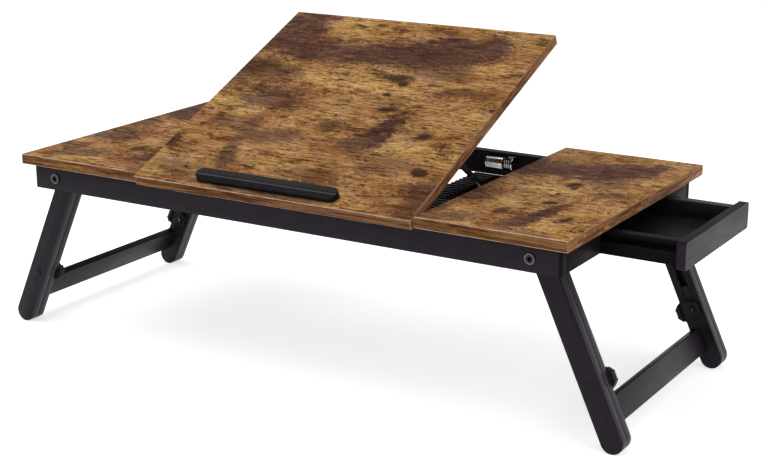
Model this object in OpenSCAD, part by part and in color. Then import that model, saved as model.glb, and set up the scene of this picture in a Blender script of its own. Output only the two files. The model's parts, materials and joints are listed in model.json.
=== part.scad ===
// Folding laptop table: three-panel top with a tilting centre, a side drawer and two folding leg frames.
// X runs along the table towards the drawer, Y to the rear and Z up. The origin is on the floor,
// under the middle of the table top. The pose has the legs open and retracted, the centre panel
// propped up and the drawer pulled part way out.

/* [Table top] */
// Length of the whole top
table_l = 700; // [660:5:760]
// Depth of the whole top
table_d = 360; // [345:5:400]
// Thickness of the top panels
top_t = 12; // [10:0.5:16]
// Height of the top surface above the floor with the legs retracted
table_h = 222; // [210:1:240]
// Width of the tilting centre panel
centre_w = 356; // [340:1:370]
// Gap at each seam between panels
seam_gap = 1; // [0.6:0.1:2]
// Slope of the centre panel in this pose
tilt_angle = 23.2; // [18:0.1:26]

/* [Frame] */
// Height of the rails
rail_h = 28; // [27:0.5:34]
// Thickness of the rails
rail_t = 12; // [11:0.5:15]
// Overhang of the top past the rail ends
overhang_x = 11; // [8:0.5:14]
// Overhang of the top past the long rails
overhang_y = 8; // [7:0.5:11]
// Rounding of the frame's outer corners
corner_r = 5; // [2:0.5:9]
// Width of the batten under each seam
batten_w = 30; // [24:1:36]
// Thickness of each batten
batten_t = 16; // [12:1:18]
// Room between each batten end and the latch heads of the folded legs
batten_room = 4; // [2:0.5:10]
// Width of the batten's shelf under the centre panel
shelf_w = 42; // [36:1:46]
// Thickness of the shelf
shelf_t = 8; // [7:0.5:9]
// Radius of the notches across the shelf
shelf_notch_r = 2.5; // [2:0.1:3]
// Depth of the notches across the shelf
shelf_notch = 2; // [1:0.1:2]
// Length of the shelf behind the window for the prop
shelf_end = 6; // [4:0.5:12]

/* [Legs] */
// Distance of the leg bolt from the rail end
bolt_inset = 33; // [25:1:40]
// Lean of the open leg from the vertical
leg_lean = 24.5; // [20:0.5:28]
// Width of a leg plank
plank_w = 25; // [21:0.5:26]
// Thickness of a leg plank
plank_t = 10; // [8:0.5:12]
// Room between rail and leg, filled by the spacer
leg_gap = 10; // [9.8:0.1:13]
// How far the inner planks slide out
extension = 75; // [50:1:80]
// Width of the crossbar along the leg
crossbar_w = 28; // [22:1:32]
// Thickness of the crossbar
crossbar_t = 10; // [7:0.5:11]
// Distance from the crossbar to the start of the round foot
crossbar_rise = 8.5; // [4:0.5:14]
// Distance of the inner plank's upper end from the leg bolt
inner_start = 14; // [11:0.5:20]
// Diameter of the leg bolt
bolt_d = 6; // [5:0.5:8]
// Diameter of the bolt head
bolt_head_d = 11; // [10:0.5:13]
// Height of the bolt head
bolt_head_h = 1.8; // [1:0.1:3]
// Size of the hexagon socket across its corners
socket_d = 5.6; // [4:0.1:6]
// Depth of the hexagon socket
socket_depth = 3.5; // [2:0.5:6]
// Diameter of the spacer
spacer_d = 14; // [12:0.5:18]
// Size of the nut across its corners
nut_d = 10.5; // [9.5:0.5:12]
// Thickness of the nut
nut_t = 5; // [4:0.5:7]

/* [Height latch] */
// Distance of the latch stud above the crossbar
latch_rise = 23; // [21:0.5:30]
// Diameter of the latch stud
stud_d = 4; // [3:0.5:5]
// Diameter of the stud's heads
stud_head_d = 9; // [7:0.5:11]
// Thickness of the stud's heads
stud_head_t = 1.5; // [1:0.1:2]
// Diameter of the lever hub that runs in the slot
hub_d = 8; // [7:0.5:9]
// Thickness of the lever plate
lever_t = 5; // [4:0.5:6]
// Length of the lever's thumb plate along the leg
thumb_l = 23; // [20:0.5:23.5]
// Reach of the thumb plate's tip from the stud
tip_reach = 17; // [16:0.5:17.5]
// Length of the flat at the tip
tip_l = 10; // [8:0.5:11]
// Run of the sloping ends behind the tip
tip_run = 6; // [5:0.5:7]
// Reach of the thumb plate's heel past the stud
heel_reach = 8; // [7:0.5:9]
// Length of the flat at the heel
heel_l = 14; // [12:0.5:16]
// Height of the grip rim on the thumb plate
rim_rise = 3; // [1:0.5:3.5]
// Width of the grip rim
rim_w = 5; // [3:0.5:6]
// Number of grip grooves in the tip
grip_grooves = 3; // [2:1:4]
// Spacing of the grip grooves
groove_step = 2.6; // [2.2:0.1:2.8]
// Radius of a grip groove
groove_r = 0.8; // [0.5:0.1:1]
// Number of notches along the slot
notch_count = 5; // [3:1:6]
// Radius of a notch
notch_r = 1.6; // [1:0.1:2]
// Distance of the slot guide's upper end above the stud
guide_rise = 24; // [20:0.5:30]
// Length between the slot guide's end centres
guide_l = 13; // [8:0.5:15]
// Room for the latch spring
latch_spring_l = 4.4; // [3.6:0.1:5]
// Wire of the latch spring
latch_wire = 0.8; // [0.5:0.1:0.9]
// Turns of the latch spring
latch_turns = 2.5; // [1.5:0.5:2.5]

/* [Drawer] */
// Width of the drawer front
drawer_w = 184; // [160:1:190]
// Height of the drawer front
drawer_front_h = 29; // [27:0.5:31]
// Thickness of the drawer front
drawer_front_t = 10; // [8:0.5:12]
// Rounding of the drawer front's corners
drawer_corner_r = 3; // [1:0.5:5]
// Gap between the drawer front and the top panel
drawer_head_gap = 2; // [1.5:0.1:3]
// How far the drawer is pulled out in this pose
drawer_open = 82; // [40:1:95]
// Shift of the drawer towards the rear
drawer_shift = 10; // [0:1:12]
// Thickness of the drawer sides
drawer_side_t = 18; // [16:0.5:22]
// Height of the drawer sides above the front's lower edge
drawer_side_rise = 3; // [2:0.5:3.5]
// Height of the side's lower ledge
ledge_h = 12; // [10:0.5:14]
// Height of the runner groove
runner_groove_h = 7; // [6:0.5:8]
// Depth of the runner groove
runner_groove_d = 12; // [11:0.5:14]
// Set-back of the lip above the groove
lip_setback = 6; // [5:0.5:8]
// Height of the lip above the groove
lip_h = 4.5; // [3.5:0.5:4.5]
// Overlap of the drawer front past each side
drawer_lap = 4; // [3:0.5:8]
// Thickness of the drawer bottom
drawer_bottom_t = 3.5; // [2.5:0.5:5]
// Height of the drawer bottom above the sides' lower edge
drawer_bottom_rise = 2; // [1.5:0.5:4]
// Depth of the groove that holds the drawer bottom
bottom_groove_d = 3; // [2:0.5:4]
// Thickness of the drawer back
drawer_back_t = 8; // [6:0.5:12]
// Thickness of the runner's hanger
hanger_t = 7; // [5:0.5:9]
// Room between the closed drawer and the batten
drawer_tail_room = 4; // [2:0.5:8]

/* [Tilt hinge] */
// Distance of each hinge from the middle
hinge_x = 110; // [70:1:120]
// Width of a hinge
hinge_w = 36; // [30:1:45]
// Length of a hinge leaf
leaf_l = 11; // [9:0.5:11]
// Thickness of a hinge leaf
leaf_t = 1.2; // [0.8:0.1:1.5]
// Radius of the hinge knuckle
knuckle_r = 2.2; // [2:0.1:2.4]
// Diameter of the hinge pin
hinge_pin_d = 2; // [1.5:0.1:2.5]
// Room between the knuckles and the underside of the panel
knuckle_room = 0.4; // [0.4:0.05:0.5]

/* [Prop and rack] */
// Length of a prop between its pivot and its foot
prop_l = 90; // [80:1:100]
// Slope of a prop below the horizontal in this pose
prop_slope = 34; // [30:0.5:38]
// Thickness of a prop
prop_t = 4; // [3:0.5:5]
// Width of a prop
prop_w = 5.2; // [4.5:0.1:5.5]
// Radius of the prop's eye
eye_r = 3.4; // [2.8:0.1:3.6]
// Diameter of the prop's pivot pin
prop_pin_d = 3; // [2:0.1:3.5]
// Diameter of the prop's foot
foot_d = 5; // [4:0.1:5.2]
// Distance of the prop's pivot below the panel
prop_drop = 5.2; // [5:0.1:6]
// Thickness of the prop bracket's plates
bracket_t = 1.2; // [1:0.1:1.5]
// Length of the prop bracket
bracket_l = 26; // [18:1:34]
// Width of a rack
rack_w = 15; // [13:0.5:18]
// Height of a rack from its base to its crests
rack_h = 12; // [10:0.5:14]
// Depth of a rack notch
rack_notch = 4; // [3:0.5:5]
// Spacing of the rack notches
rack_pitch = 9; // [8:0.5:12]
// Notches in front of the prop's foot
rack_ahead = 2; // [1:1:3]
// Notches behind the prop's foot
rack_behind = 3; // [2:1:4]
// Room between the prop's foot and the crests in this pose
crest_room = 1.1; // [1.1:0.1:1.6]

/* [Book ledge] */
// Length of the book ledge
stop_l = 182; // [120:1:240]
// Width of the book ledge
stop_w = 17; // [12:0.5:22]
// Height of the book ledge
stop_h = 8; // [6:0.5:14]
// Width of the book ledge's flat top
stop_top_w = 12; // [8:0.5:14]
// Height of the book ledge's front edge
stop_front_h = 5.5; // [3:0.5:6]
// Shift of the book ledge towards the right end of the panel
stop_shift = -7; // [-10:1:10]
// Distance of the book ledge from the panel's front edge
stop_inset = 7.5; // [6:0.5:30]

/* [Leg catch] */
// Length of the catch
catch_l = 35; // [32:1:50]
// Length of leg that lies on the catch when folded
catch_lap = 30; // [20:1:40]
// Radius of the roller
roller_r = 7.2; // [6:0.1:7.4]
// Length of the roller
roller_l = 20; // [17:1:22]
// Distance of the axle from the rail's face
axle_out = 2; // [1.6:0.1:2.3]
// Diameter of the axle
axle_d = 4; // [3:0.5:5]
// Height of the axle above the rail's middle
axle_rise = 2; // [1:0.5:2.5]
// Thickness of the catch bracket
catch_t = 1.4; // [1:0.1:1.8]
// Height of the catch bracket
catch_h = 17; // [15.5:0.5:19]
// Rounding of the bracket's cheeks
cheek_r = 7.4; // [6.5:0.1:7.6]
// Wire of the catch spring
catch_wire = 1.2; // [0.8:0.1:1.4]
// Turns of the catch spring
catch_turns = 4; // [3:1:5]
// Radius of the catch spring at the middle of its wire
catch_spring_r = 4.4; // [3.8:0.1:5.4]

/* [Fits] */
// Clearance between pieces that pass each other
clear = 0.3; // [0.3:0.05:0.4]
// Radial clearance of pins, bolts and axles
run_clear = 0.05; // [0.02:0.01:0.08]

/* [Hidden] */
$fn = 48;

// Colours as they show on the object
wood = "#8a5f36";
black = "#26262a";
plastic = "#1f1f22";
chrome = "#c9ccd0";
steel = "#3a3b3e";

// A little extra length for cuts that run through a face
over = 1;

// Frame
top_z = table_h - top_t;
rail_z = top_z - rail_h;
rail_x = table_l / 2 - overhang_x;
rail_y = table_d / 2 - overhang_y;
rail_in = rail_y - rail_t;
seam_x = (centre_w + seam_gap) / 2;
side_w = (table_l - centre_w) / 2 - seam_gap;

// Legs, with distances measured down the leg from its bolt
bolt_x = rail_x - bolt_inset;
bolt_z = top_z - rail_h / 2;
leg_reach = (bolt_z - plank_w / 2) / cos(leg_lean);
outer_face = rail_in - leg_gap;
stop_rise = (rail_h / 2 - clear - plank_w / 2 * sin(leg_lean)) / cos(leg_lean);
crossbar_low = leg_reach - crossbar_rise;
crossbar_high = crossbar_low - crossbar_w;
latch_at = crossbar_high - latch_rise;
slot_w = hub_d + 2 * clear;
slot_high = latch_at - guide_rise - extension;

// Depths inward from the outer plank's outer face
inner_in = plank_t + clear;
inner_out = inner_in + plank_t;
lever_in = inner_out + clear;
lever_out = lever_in + lever_t;
spring_in = lever_out + clear;
head_in = spring_in + latch_spring_l;
head_out = head_in + stud_head_t;

// Battens, racks and props
batten_half = outer_face - head_out - batten_room;
batten_in = seam_x - batten_w / 2;
batten_out = seam_x + batten_w / 2;
prop_x = batten_in - rack_w / 2;
hinge_drop = knuckle_r + knuckle_room;
hinge_y = -rail_y - knuckle_r - clear;
hinge_z = top_z - hinge_drop;
prop_arm = prop_drop - hinge_drop;
prop_run = (prop_l * sin(prop_slope) - prop_arm * (1 - cos(tilt_angle))) / sin(tilt_angle);
prop_y = hinge_y + prop_run;
pivot_y = hinge_y + prop_run * cos(tilt_angle) + prop_arm * sin(tilt_angle);
pivot_z = hinge_z + prop_run * sin(tilt_angle) - prop_arm * cos(tilt_angle);
foot_y = pivot_y + prop_l * cos(prop_slope);
foot_z = pivot_z - prop_l * sin(prop_slope);
crest_z = foot_z - foot_d / 2 - crest_room;
rack_front = foot_y - (rack_ahead + 1) * rack_pitch;
rack_rear = foot_y + (rack_behind + 1) * rack_pitch;
window_front = prop_y - bracket_l / 2 - over;

// Drawer, in its closed place until the whole drawer is moved out
drawer_z = top_z - drawer_head_gap - drawer_front_h;
side_low = drawer_z + drawer_side_rise;
groove_low = side_low + ledge_h;
groove_high = groove_low + runner_groove_h;
lip_high = groove_high + lip_h;
front_side_y = drawer_shift - drawer_w / 2 + drawer_lap;
rear_side_y = drawer_shift + drawer_w / 2 - drawer_lap;
drawer_face = rail_x + clear;
drawer_tail = batten_out + drawer_tail_room;
drawer_box_l = drawer_face - drawer_tail;

// Catch
catch_end = bolt_x - leg_reach - plank_w / 2 + catch_lap;
catch_start = catch_end - catch_l;
axle_y = rail_in - axle_out;
axle_z = top_z - rail_h / 2 + axle_rise;
pocket_depth = roller_r - axle_out + clear + catch_t;

// Mirrors children to the left side when side is -1
module sided(side) {
    if (side > 0) children();
    else mirror([1, 0, 0]) children();
}

// Mirrors children to the rear when end is 1, for pieces drawn at the front
module ended(end) {
    if (end < 0) children();
    else mirror([0, 1, 0]) children();
}

// Extrudes a side view drawn in X and Z from y0 to y1
module along_y(y0, y1) {
    translate([0, y1, 0]) rotate([90, 0, 0]) linear_extrude(y1 - y0) children();
}

// Extrudes an end view drawn in Y and Z from x0 to x1
module along_x(x0, x1) {
    translate([x0, 0, 0]) rotate([90, 0, 90]) linear_extrude(x1 - x0) children();
}

// Straight bar with round ends between two points on a vertical line of the drawing
module capsule(low, high, r) {
    translate([0, low]) circle(r);
    translate([0, high]) circle(r);
    translate([-r, low]) square([2 * r, high - low]);
}

// Rectangle with round corners
module round_rect(size, r) {
    translate([r, 0]) square([size[0] - 2 * r, size[1]]);
    translate([0, r]) square([size[0], size[1] - 2 * r]);
    for (x = [r, size[0] - r])
        for (y = [r, size[1] - r])
            translate([x, y]) circle(r);
}

// Moves a flat-drawn centre panel piece to its propped slope
module tilted() {
    translate([0, hinge_y, hinge_z]) rotate([tilt_angle, 0, 0])
        translate([0, -hinge_y, -hinge_z]) children();
}

// Places a leg drawn straight down from its bolt
module on_leg(side) {
    translate([side * bolt_x, 0, bolt_z]) sided(side) rotate([0, -leg_lean, 0]) children();
}

// Wire coil along +Z from z 0 to length, as one tube
COIL_STEPS = 8;
WIRE_SIDES = 6;
function coil_points(r, wire, turns, length) = [
    for (i = [0 : turns * COIL_STEPS])
        let (a = i * 360 / COIL_STEPS)
        [r * cos(a), r * sin(a), wire / 2 + (length - wire) * i / (turns * COIL_STEPS)]
];
function coil_gap(path, wire) = min([
    for (i = [0 : len(path) - 1])
        for (j = [i + COIL_STEPS / 2 : 1 : len(path) - 1])
            norm(path[i] - path[j]) - wire
]);
module coil(r, wire, turns, length) {
    path = coil_points(r, wire, turns, length);
    count = len(path);
    rings = [
        for (i = [0 : count - 1])
            let (a = i * 360 / COIL_STEPS)
            for (j = [0 : WIRE_SIDES - 1])
                let (b = j * 360 / WIRE_SIDES)
                path[i] + wire / 2 * [cos(b) * cos(a), cos(b) * sin(a), sin(b)]
    ];
    walls = [
        for (i = [0 : count - 2])
            for (j = [0 : WIRE_SIDES - 1])
                let (k = (j + 1) % WIRE_SIDES, p = i * WIRE_SIDES, q = p + WIRE_SIDES)
                each [[p + j, q + k, q + j], [p + j, p + k, q + k]]
    ];
    last = (count - 1) * WIRE_SIDES;
    caps = [
        for (j = [1 : WIRE_SIDES - 2])
            each [[0, j + 1, j], [last, last + j, last + j + 1]]
    ];
    polyhedron(points = rings, faces = concat(walls, caps), convexity = 10);
}
catch_spring_l = catch_l - 2 * catch_t - roller_l - 3 * clear;
catch_path = coil_points(catch_spring_r, catch_wire, catch_turns, catch_spring_l);
echo(catch_spring_gap = coil_gap(catch_path, catch_wire));
latch_spring_r = stud_d / 2 + latch_wire;
latch_path = coil_points(latch_spring_r, latch_wire, latch_turns, latch_spring_l);
echo(latch_spring_gap = coil_gap(latch_path, latch_wire));

// Round hole or pin along Y
module y_rod(x, z, r, y0, y1) {
    translate([x, y1, z]) rotate([90, 0, 0]) cylinder(r = r, h = y1 - y0);
}

// Round hole or pin along X
module x_rod(y, z, r, x0, x1) {
    translate([x0, y, z]) rotate([0, 90, 0]) cylinder(r = r, h = x1 - x0);
}

// Long rail of the frame, drawn at the front with its bolt holes
module long_rail() {
    difference() {
        translate([0, 0, rail_z]) linear_extrude(rail_h) {
            translate([-rail_x, -rail_y + corner_r]) square([2 * rail_x, rail_t - corner_r]);
            translate([-rail_x + corner_r, -rail_y]) square([2 * (rail_x - corner_r), rail_t]);
            for (side = [-1, 1])
                translate([side * (rail_x - corner_r), -rail_y + corner_r]) circle(corner_r);
        }
        for (side = [-1, 1])
            y_rod(side * bolt_x, bolt_z, bolt_d / 2 + run_clear, -rail_y - over, -rail_in + over);
    }
}

module front_rail() {
    color(black) difference() {
        long_rail();
        for (side = [-1, 1])
            translate([side * hinge_x - hinge_w / 2, -rail_y - over, hinge_z + knuckle_r - leaf_t])
                cube([hinge_w, leaf_l + over, leaf_t + hinge_drop]);
    }
}

module rear_rail() {
    color(black) difference() {
        mirror([0, 1, 0]) long_rail();
        for (side = [-1, 1])
            sided(side) translate([catch_start, rail_in - over, axle_z - catch_h / 2])
                cube([catch_l, pocket_depth + over, catch_h]);
    }
}

module end_board(x, y0, y1) {
    color(black) translate([x, y0, rail_z]) cube([rail_t, y1 - y0, rail_h]);
}

module left_end_rail() {
    end_board(-rail_x, -rail_in, rail_in);
}

module right_front_stub() {
    end_board(rail_x - rail_t, -rail_in, front_side_y - over);
}

module right_rear_stub() {
    end_board(rail_x - rail_t, rear_side_y + over, rail_in);
}

module side_panel(side) {
    color(wood) sided(side) translate([table_l / 2 - side_w, -table_d / 2, top_z])
        cube([side_w, table_d, top_t]);
}

// Board under a seam, with a notched shelf that carries the closed centre panel and a window for the prop
module batten(side) {
    shelf_in = batten_in - shelf_w;
    shelf_z = top_z - shelf_t;
    color(black) sided(side) difference() {
        union() {
            translate([batten_in, -batten_half, top_z - batten_t])
                cube([batten_w, 2 * batten_half, batten_t]);
            translate([shelf_in, -batten_half, shelf_z])
                cube([shelf_w + over, batten_half + rack_rear + shelf_end, shelf_t]);
        }
        translate([batten_in - rack_w, window_front, shelf_z - over])
            cube([rack_w, rack_rear - window_front, shelf_t + 2 * over]);
        for (y = [rack_rear : -rack_pitch : -batten_half])
            x_rod(y, top_z + shelf_notch_r - shelf_notch, shelf_notch_r, shelf_in - over, batten_in);
    }
}

// Notched strip on the batten's side, with steep rear faces that hold the prop's foot
module rack(side) {
    notches = [
        for (i = [-rack_ahead : rack_behind])
            let (y = foot_y + i * rack_pitch)
            each [
                [y - rack_pitch / 2, crest_z],
                [y - foot_d / 4, crest_z - rack_notch],
                [y + foot_d / 4, crest_z - rack_notch],
                [y + foot_d / 2 + clear, crest_z]
            ]
    ];
    outline = concat(
        [[rack_front, crest_z - rack_h], [rack_front, crest_z]],
        notches,
        [[rack_rear, crest_z], [rack_rear, crest_z - rack_h]]
    );
    color(plastic) sided(side) along_x(batten_in - rack_w, batten_in) polygon(outline);
}

// Hanger and tongue that carry one drawer side, drawn for the front side
module runner_profile() {
    polygon([
        [lip_setback - clear - hanger_t, top_z],
        [lip_setback - clear - hanger_t, groove_low + clear],
        [runner_groove_d - clear, groove_low + clear],
        [runner_groove_d - clear, groove_high - clear],
        [lip_setback - clear, groove_high - clear],
        [lip_setback - clear, top_z]
    ]);
}

module front_drawer_runner() {
    color(black) translate([0, front_side_y, 0])
        along_x(batten_out, rail_x - rail_t - clear) runner_profile();
}

module rear_drawer_runner() {
    color(black) translate([0, rear_side_y, 0]) mirror([0, 1, 0])
        along_x(batten_out, rail_x - rail_t - clear) runner_profile();
}

// Repeats a piece drawn for the right front leg bolt at all four bolts
module at_bolts() {
    for (side = [-1, 1])
        for (end = [-1, 1])
            sided(side) ended(end) children();
}

module leg_bolts() {
    bolt_tip = -outer_face + plank_t + clear + nut_t;
    color(chrome) at_bolts() difference() {
        union() {
            y_rod(bolt_x, bolt_z, bolt_head_d / 2, -rail_y - bolt_head_h, -rail_y);
            y_rod(bolt_x, bolt_z, bolt_d / 2, -rail_y - bolt_head_h / 2, bolt_tip);
        }
        translate([bolt_x, -rail_y - bolt_head_h + socket_depth, bolt_z]) rotate([90, 0, 0])
            cylinder(d = socket_d, h = socket_depth + over, $fn = 6);
    }
}

module leg_spacers() {
    color(plastic) at_bolts() difference() {
        y_rod(bolt_x, bolt_z, spacer_d / 2, -rail_in, -outer_face - clear);
        y_rod(bolt_x, bolt_z, bolt_d / 2 + run_clear, -rail_in - over, -outer_face + over);
    }
}

module leg_nuts() {
    color(steel) at_bolts() difference() {
        translate([bolt_x, -outer_face + plank_t + clear + nut_t, bolt_z]) rotate([90, 0, 0])
            cylinder(d = nut_d, h = nut_t, $fn = 6);
        y_rod(bolt_x, bolt_z, bolt_d / 2 + run_clear, -rail_y, 0);
    }
}

// One third of a hinge's width, less the gap between knuckles
knuckle_w = hinge_w / 3;

module hinge_rail_leaves() {
    leaf_z = hinge_z + knuckle_r - leaf_t;
    color(steel) for (side = [-1, 1]) translate([side * hinge_x, 0, 0]) difference() {
        union() {
            translate([-hinge_w / 2, -rail_y, leaf_z]) cube([hinge_w, leaf_l, leaf_t]);
            translate([-knuckle_w / 2 + clear / 2, hinge_y, leaf_z])
                cube([knuckle_w - clear, leaf_l / 2, leaf_t]);
            x_rod(hinge_y, hinge_z, knuckle_r, -knuckle_w / 2 + clear / 2, knuckle_w / 2 - clear / 2);
        }
        x_rod(hinge_y, hinge_z, hinge_pin_d / 2 + run_clear, -hinge_w, hinge_w);
    }
}

module hinge_pins() {
    color(steel) for (side = [-1, 1])
        x_rod(hinge_y, hinge_z, hinge_pin_d / 2, side * hinge_x - hinge_w / 2, side * hinge_x + hinge_w / 2);
}

module hinge_panel_leaves() {
    color(steel) tilted() for (side = [-1, 1]) translate([side * hinge_x, 0, 0]) difference() {
        union() {
            translate([-hinge_w / 2, hinge_y + knuckle_r, top_z]) cube([hinge_w, leaf_l, leaf_t]);
            for (end = [-1, 1])
                translate([end * knuckle_w - knuckle_w / 2 + clear / 2, 0, 0]) {
                    x_rod(hinge_y, hinge_z, knuckle_r, 0, knuckle_w - clear);
                    translate([0, hinge_y - knuckle_r, hinge_z])
                        cube([knuckle_w - clear, leaf_t, top_z + leaf_t - hinge_z]);
                    translate([0, hinge_y - knuckle_r, top_z])
                        cube([knuckle_w - clear, 2 * knuckle_r + over, leaf_t]);
                }
        }
        x_rod(hinge_y, hinge_z, hinge_pin_d / 2 + run_clear, -hinge_w, hinge_w);
    }
}

module tilt_panel() {
    mortise_y = hinge_y - knuckle_r;
    color(wood) tilted() difference() {
        translate([-centre_w / 2, -table_d / 2, top_z]) cube([centre_w, table_d, top_t]);
        for (side = [-1, 1])
            translate([side * hinge_x - hinge_w / 2, mortise_y, top_z - over])
                cube([hinge_w, leaf_l + 2 * knuckle_r, leaf_t + over]);
    }
}

// Stop bar with a sloped front, a flat top and an upright rear face
module book_ledge() {
    profile = [
        [0, 0],
        [stop_w, 0],
        [stop_w, stop_h],
        [stop_w - stop_top_w, stop_h],
        [0, stop_front_h]
    ];
    place = [stop_shift - stop_l / 2, -table_d / 2 + stop_inset, table_h];
    color(plastic) tilted() translate(place) intersection() {
        along_x(0, stop_l) polygon(profile);
        linear_extrude(stop_h) round_rect([stop_l, stop_w], stop_w / 2 - clear);
    }
}

// Plate with two ears on the panel's underside, one bracket for each prop
module prop_brackets() {
    ear_in = prop_t / 2 + clear;
    color(steel) tilted() for (side = [-1, 1]) sided(side) translate([prop_x, prop_y, top_z]) {
        translate([-ear_in - bracket_t, -bracket_l / 2, -bracket_t])
            cube([2 * (ear_in + bracket_t), bracket_l, bracket_t]);
        for (x = [-ear_in - bracket_t, ear_in]) difference() {
            union() {
                x_rod(0, -prop_drop, eye_r, x, x + bracket_t);
                translate([x, -eye_r, -prop_drop]) cube([bracket_t, 2 * eye_r, prop_drop]);
            }
            x_rod(0, -prop_drop, prop_pin_d / 2 + run_clear, x - over, x + bracket_t + over);
        }
    }
}

module prop_pins() {
    half = prop_t / 2 + clear + bracket_t;
    color(steel) tilted() for (side = [-1, 1])
        sided(side) x_rod(prop_y, top_z - prop_drop, prop_pin_d / 2, prop_x - half, prop_x + half);
}

// Flat arm with an eye at the panel and a round foot across the rack
module prop(side) {
    foot_half = rack_w / 2 - over;
    color(steel) sided(side) translate([prop_x, pivot_y, pivot_z]) rotate([-prop_slope, 0, 0]) difference() {
        union() {
            x_rod(0, 0, eye_r, -prop_t / 2, prop_t / 2);
            translate([-prop_t / 2, 0, -prop_w / 2]) cube([prop_t, prop_l, prop_w]);
            x_rod(prop_l, 0, prop_w / 2, -prop_t / 2, prop_t / 2);
            x_rod(prop_l, 0, foot_d / 2, -foot_half, foot_half);
        }
        x_rod(0, 0, prop_pin_d / 2 + run_clear, -prop_t, prop_t);
    }
}

module catch_bracket(side) {
    back_y = rail_in + pocket_depth;
    color(chrome) sided(side) difference() {
        union() {
            translate([catch_start, back_y - catch_t, axle_z - catch_h / 2])
                cube([catch_l, catch_t, catch_h]);
            for (x = [catch_start, catch_end - catch_t]) {
                x_rod(axle_y, axle_z, cheek_r, x, x + catch_t);
                translate([x, axle_y, axle_z - cheek_r]) cube([catch_t, back_y - axle_y, 2 * cheek_r]);
            }
        }
        x_rod(axle_y, axle_z, axle_d / 2 + run_clear, catch_start - over, catch_end + over);
    }
}

module catch_axles() {
    color(steel) for (side = [-1, 1])
        sided(side) x_rod(axle_y, axle_z, axle_d / 2, catch_start, catch_end);
}

module catch_springs() {
    spring_start = catch_end - catch_t - clear - catch_spring_l;
    color(chrome) for (side = [-1, 1])
        sided(side) translate([spring_start, axle_y, axle_z]) rotate([0, 90, 0])
            coil(catch_spring_r, catch_wire, catch_turns, catch_spring_l);
}

module catch_roller(side) {
    start = catch_start + catch_t + clear;
    color(chrome) sided(side) difference() {
        x_rod(axle_y, axle_z, roller_r, start, start + roller_l);
        x_rod(axle_y, axle_z, axle_d / 2 + run_clear, start - over, start + roller_l + over);
    }
}

// Moves the drawer from its closed place to the pose
module drawn_out() {
    translate([drawer_open, 0, 0]) children();
}

module drawer_front() {
    color(black) drawn_out() along_x(drawer_face, drawer_face + drawer_front_t)
        translate([drawer_shift - drawer_w / 2, drawer_z])
            round_rect([drawer_w, drawer_front_h], drawer_corner_r);
}

// Side with a runner groove outside and a groove for the bottom inside, drawn for the front side
module side_profile() {
    bottom_z = side_low + drawer_bottom_rise;
    difference() {
        polygon([
            [0, side_low],
            [drawer_side_t, side_low],
            [drawer_side_t, lip_high],
            [lip_setback, lip_high],
            [lip_setback, groove_high],
            [runner_groove_d, groove_high],
            [runner_groove_d, groove_low],
            [0, groove_low]
        ]);
        translate([drawer_side_t - bottom_groove_d, bottom_z])
            square([bottom_groove_d + over, drawer_bottom_t]);
    }
}

module drawer_front_side() {
    color(black) drawn_out() translate([0, front_side_y, 0])
        along_x(drawer_tail, drawer_face) side_profile();
}

module drawer_rear_side() {
    color(black) drawn_out() translate([0, rear_side_y, 0]) mirror([0, 1, 0])
        along_x(drawer_tail, drawer_face) side_profile();
}

module drawer_back() {
    back_z = side_low + drawer_bottom_rise + drawer_bottom_t;
    color(black) drawn_out() translate([drawer_tail, front_side_y + drawer_side_t, back_z])
        cube([drawer_back_t, rear_side_y - front_side_y - 2 * drawer_side_t, lip_high - back_z]);
}

module drawer_bottom() {
    reach = drawer_side_t - bottom_groove_d;
    color(black) drawn_out() translate([drawer_tail, front_side_y + reach, side_low + drawer_bottom_rise])
        cube([drawer_box_l, rear_side_y - front_side_y - 2 * reach, drawer_bottom_t]);
}

// Outer plank with a round foot, drawn for the front; its upper outer corner meets the top as a stop
module outer_plank(side, end) {
    color(black) ended(end) on_leg(side) difference() {
        along_y(-outer_face, -outer_face + plank_t) {
            capsule(-leg_reach, 0, plank_w / 2);
            square([plank_w / 2, stop_rise]);
        }
        y_rod(0, 0, bolt_d / 2 + run_clear, -outer_face - over, -outer_face + plank_t + over);
        y_rod(0, -latch_at, stud_d / 2 + run_clear, -outer_face - over, -outer_face + plank_t + over);
    }
}

// Which edge of the leg the thumb plate is on: +X on front legs and -X on rear legs
function thumb_edge(side, end) = -side * end;

// Inner plank with its slot and the row of notches on the latch's side
module inner_plank(side, end) {
    notch_pitch = extension / (notch_count - 1);
    edge = thumb_edge(side, end);
    plank_y = -outer_face + inner_in;
    color(black) ended(end) on_leg(side) along_y(plank_y, plank_y + plank_t) difference() {
        union() {
            capsule(-leg_reach, -inner_start - plank_w / 2, plank_w / 2);
            translate([-plank_w / 2, -inner_start - plank_w / 2]) square([plank_w, plank_w / 2]);
        }
        capsule(-latch_at, -slot_high, slot_w / 2);
        for (i = [0 : notch_count - 1])
            translate([edge * slot_w / 2, -latch_at + i * notch_pitch]) circle(notch_r);
    }
}

module slot_guides(side) {
    top = guide_rise - latch_at;
    color(black) for (end = [-1, 1]) ended(end) on_leg(side)
        along_y(-outer_face + plank_t, -outer_face + inner_out) capsule(top - guide_l, top, hub_d / 2);
}

// Rivet through the outer plank that carries the lever
module latch_studs(side) {
    color(steel) for (end = [-1, 1]) ended(end) on_leg(side) {
        y_rod(0, -latch_at, stud_head_d / 2, -outer_face - stud_head_t / 2, -outer_face);
        y_rod(0, -latch_at, stud_d / 2, -outer_face - stud_head_t / 2, -outer_face + head_out);
        y_rod(0, -latch_at, stud_head_d / 2, -outer_face + head_in, -outer_face + head_out);
    }
}

module latch_springs(side) {
    color(chrome) for (end = [-1, 1]) ended(end) on_leg(side)
        translate([0, -outer_face + spring_in + latch_spring_l, -latch_at]) rotate([90, 0, 0])
            coil(latch_spring_r, latch_wire, latch_turns, latch_spring_l);
}

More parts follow.
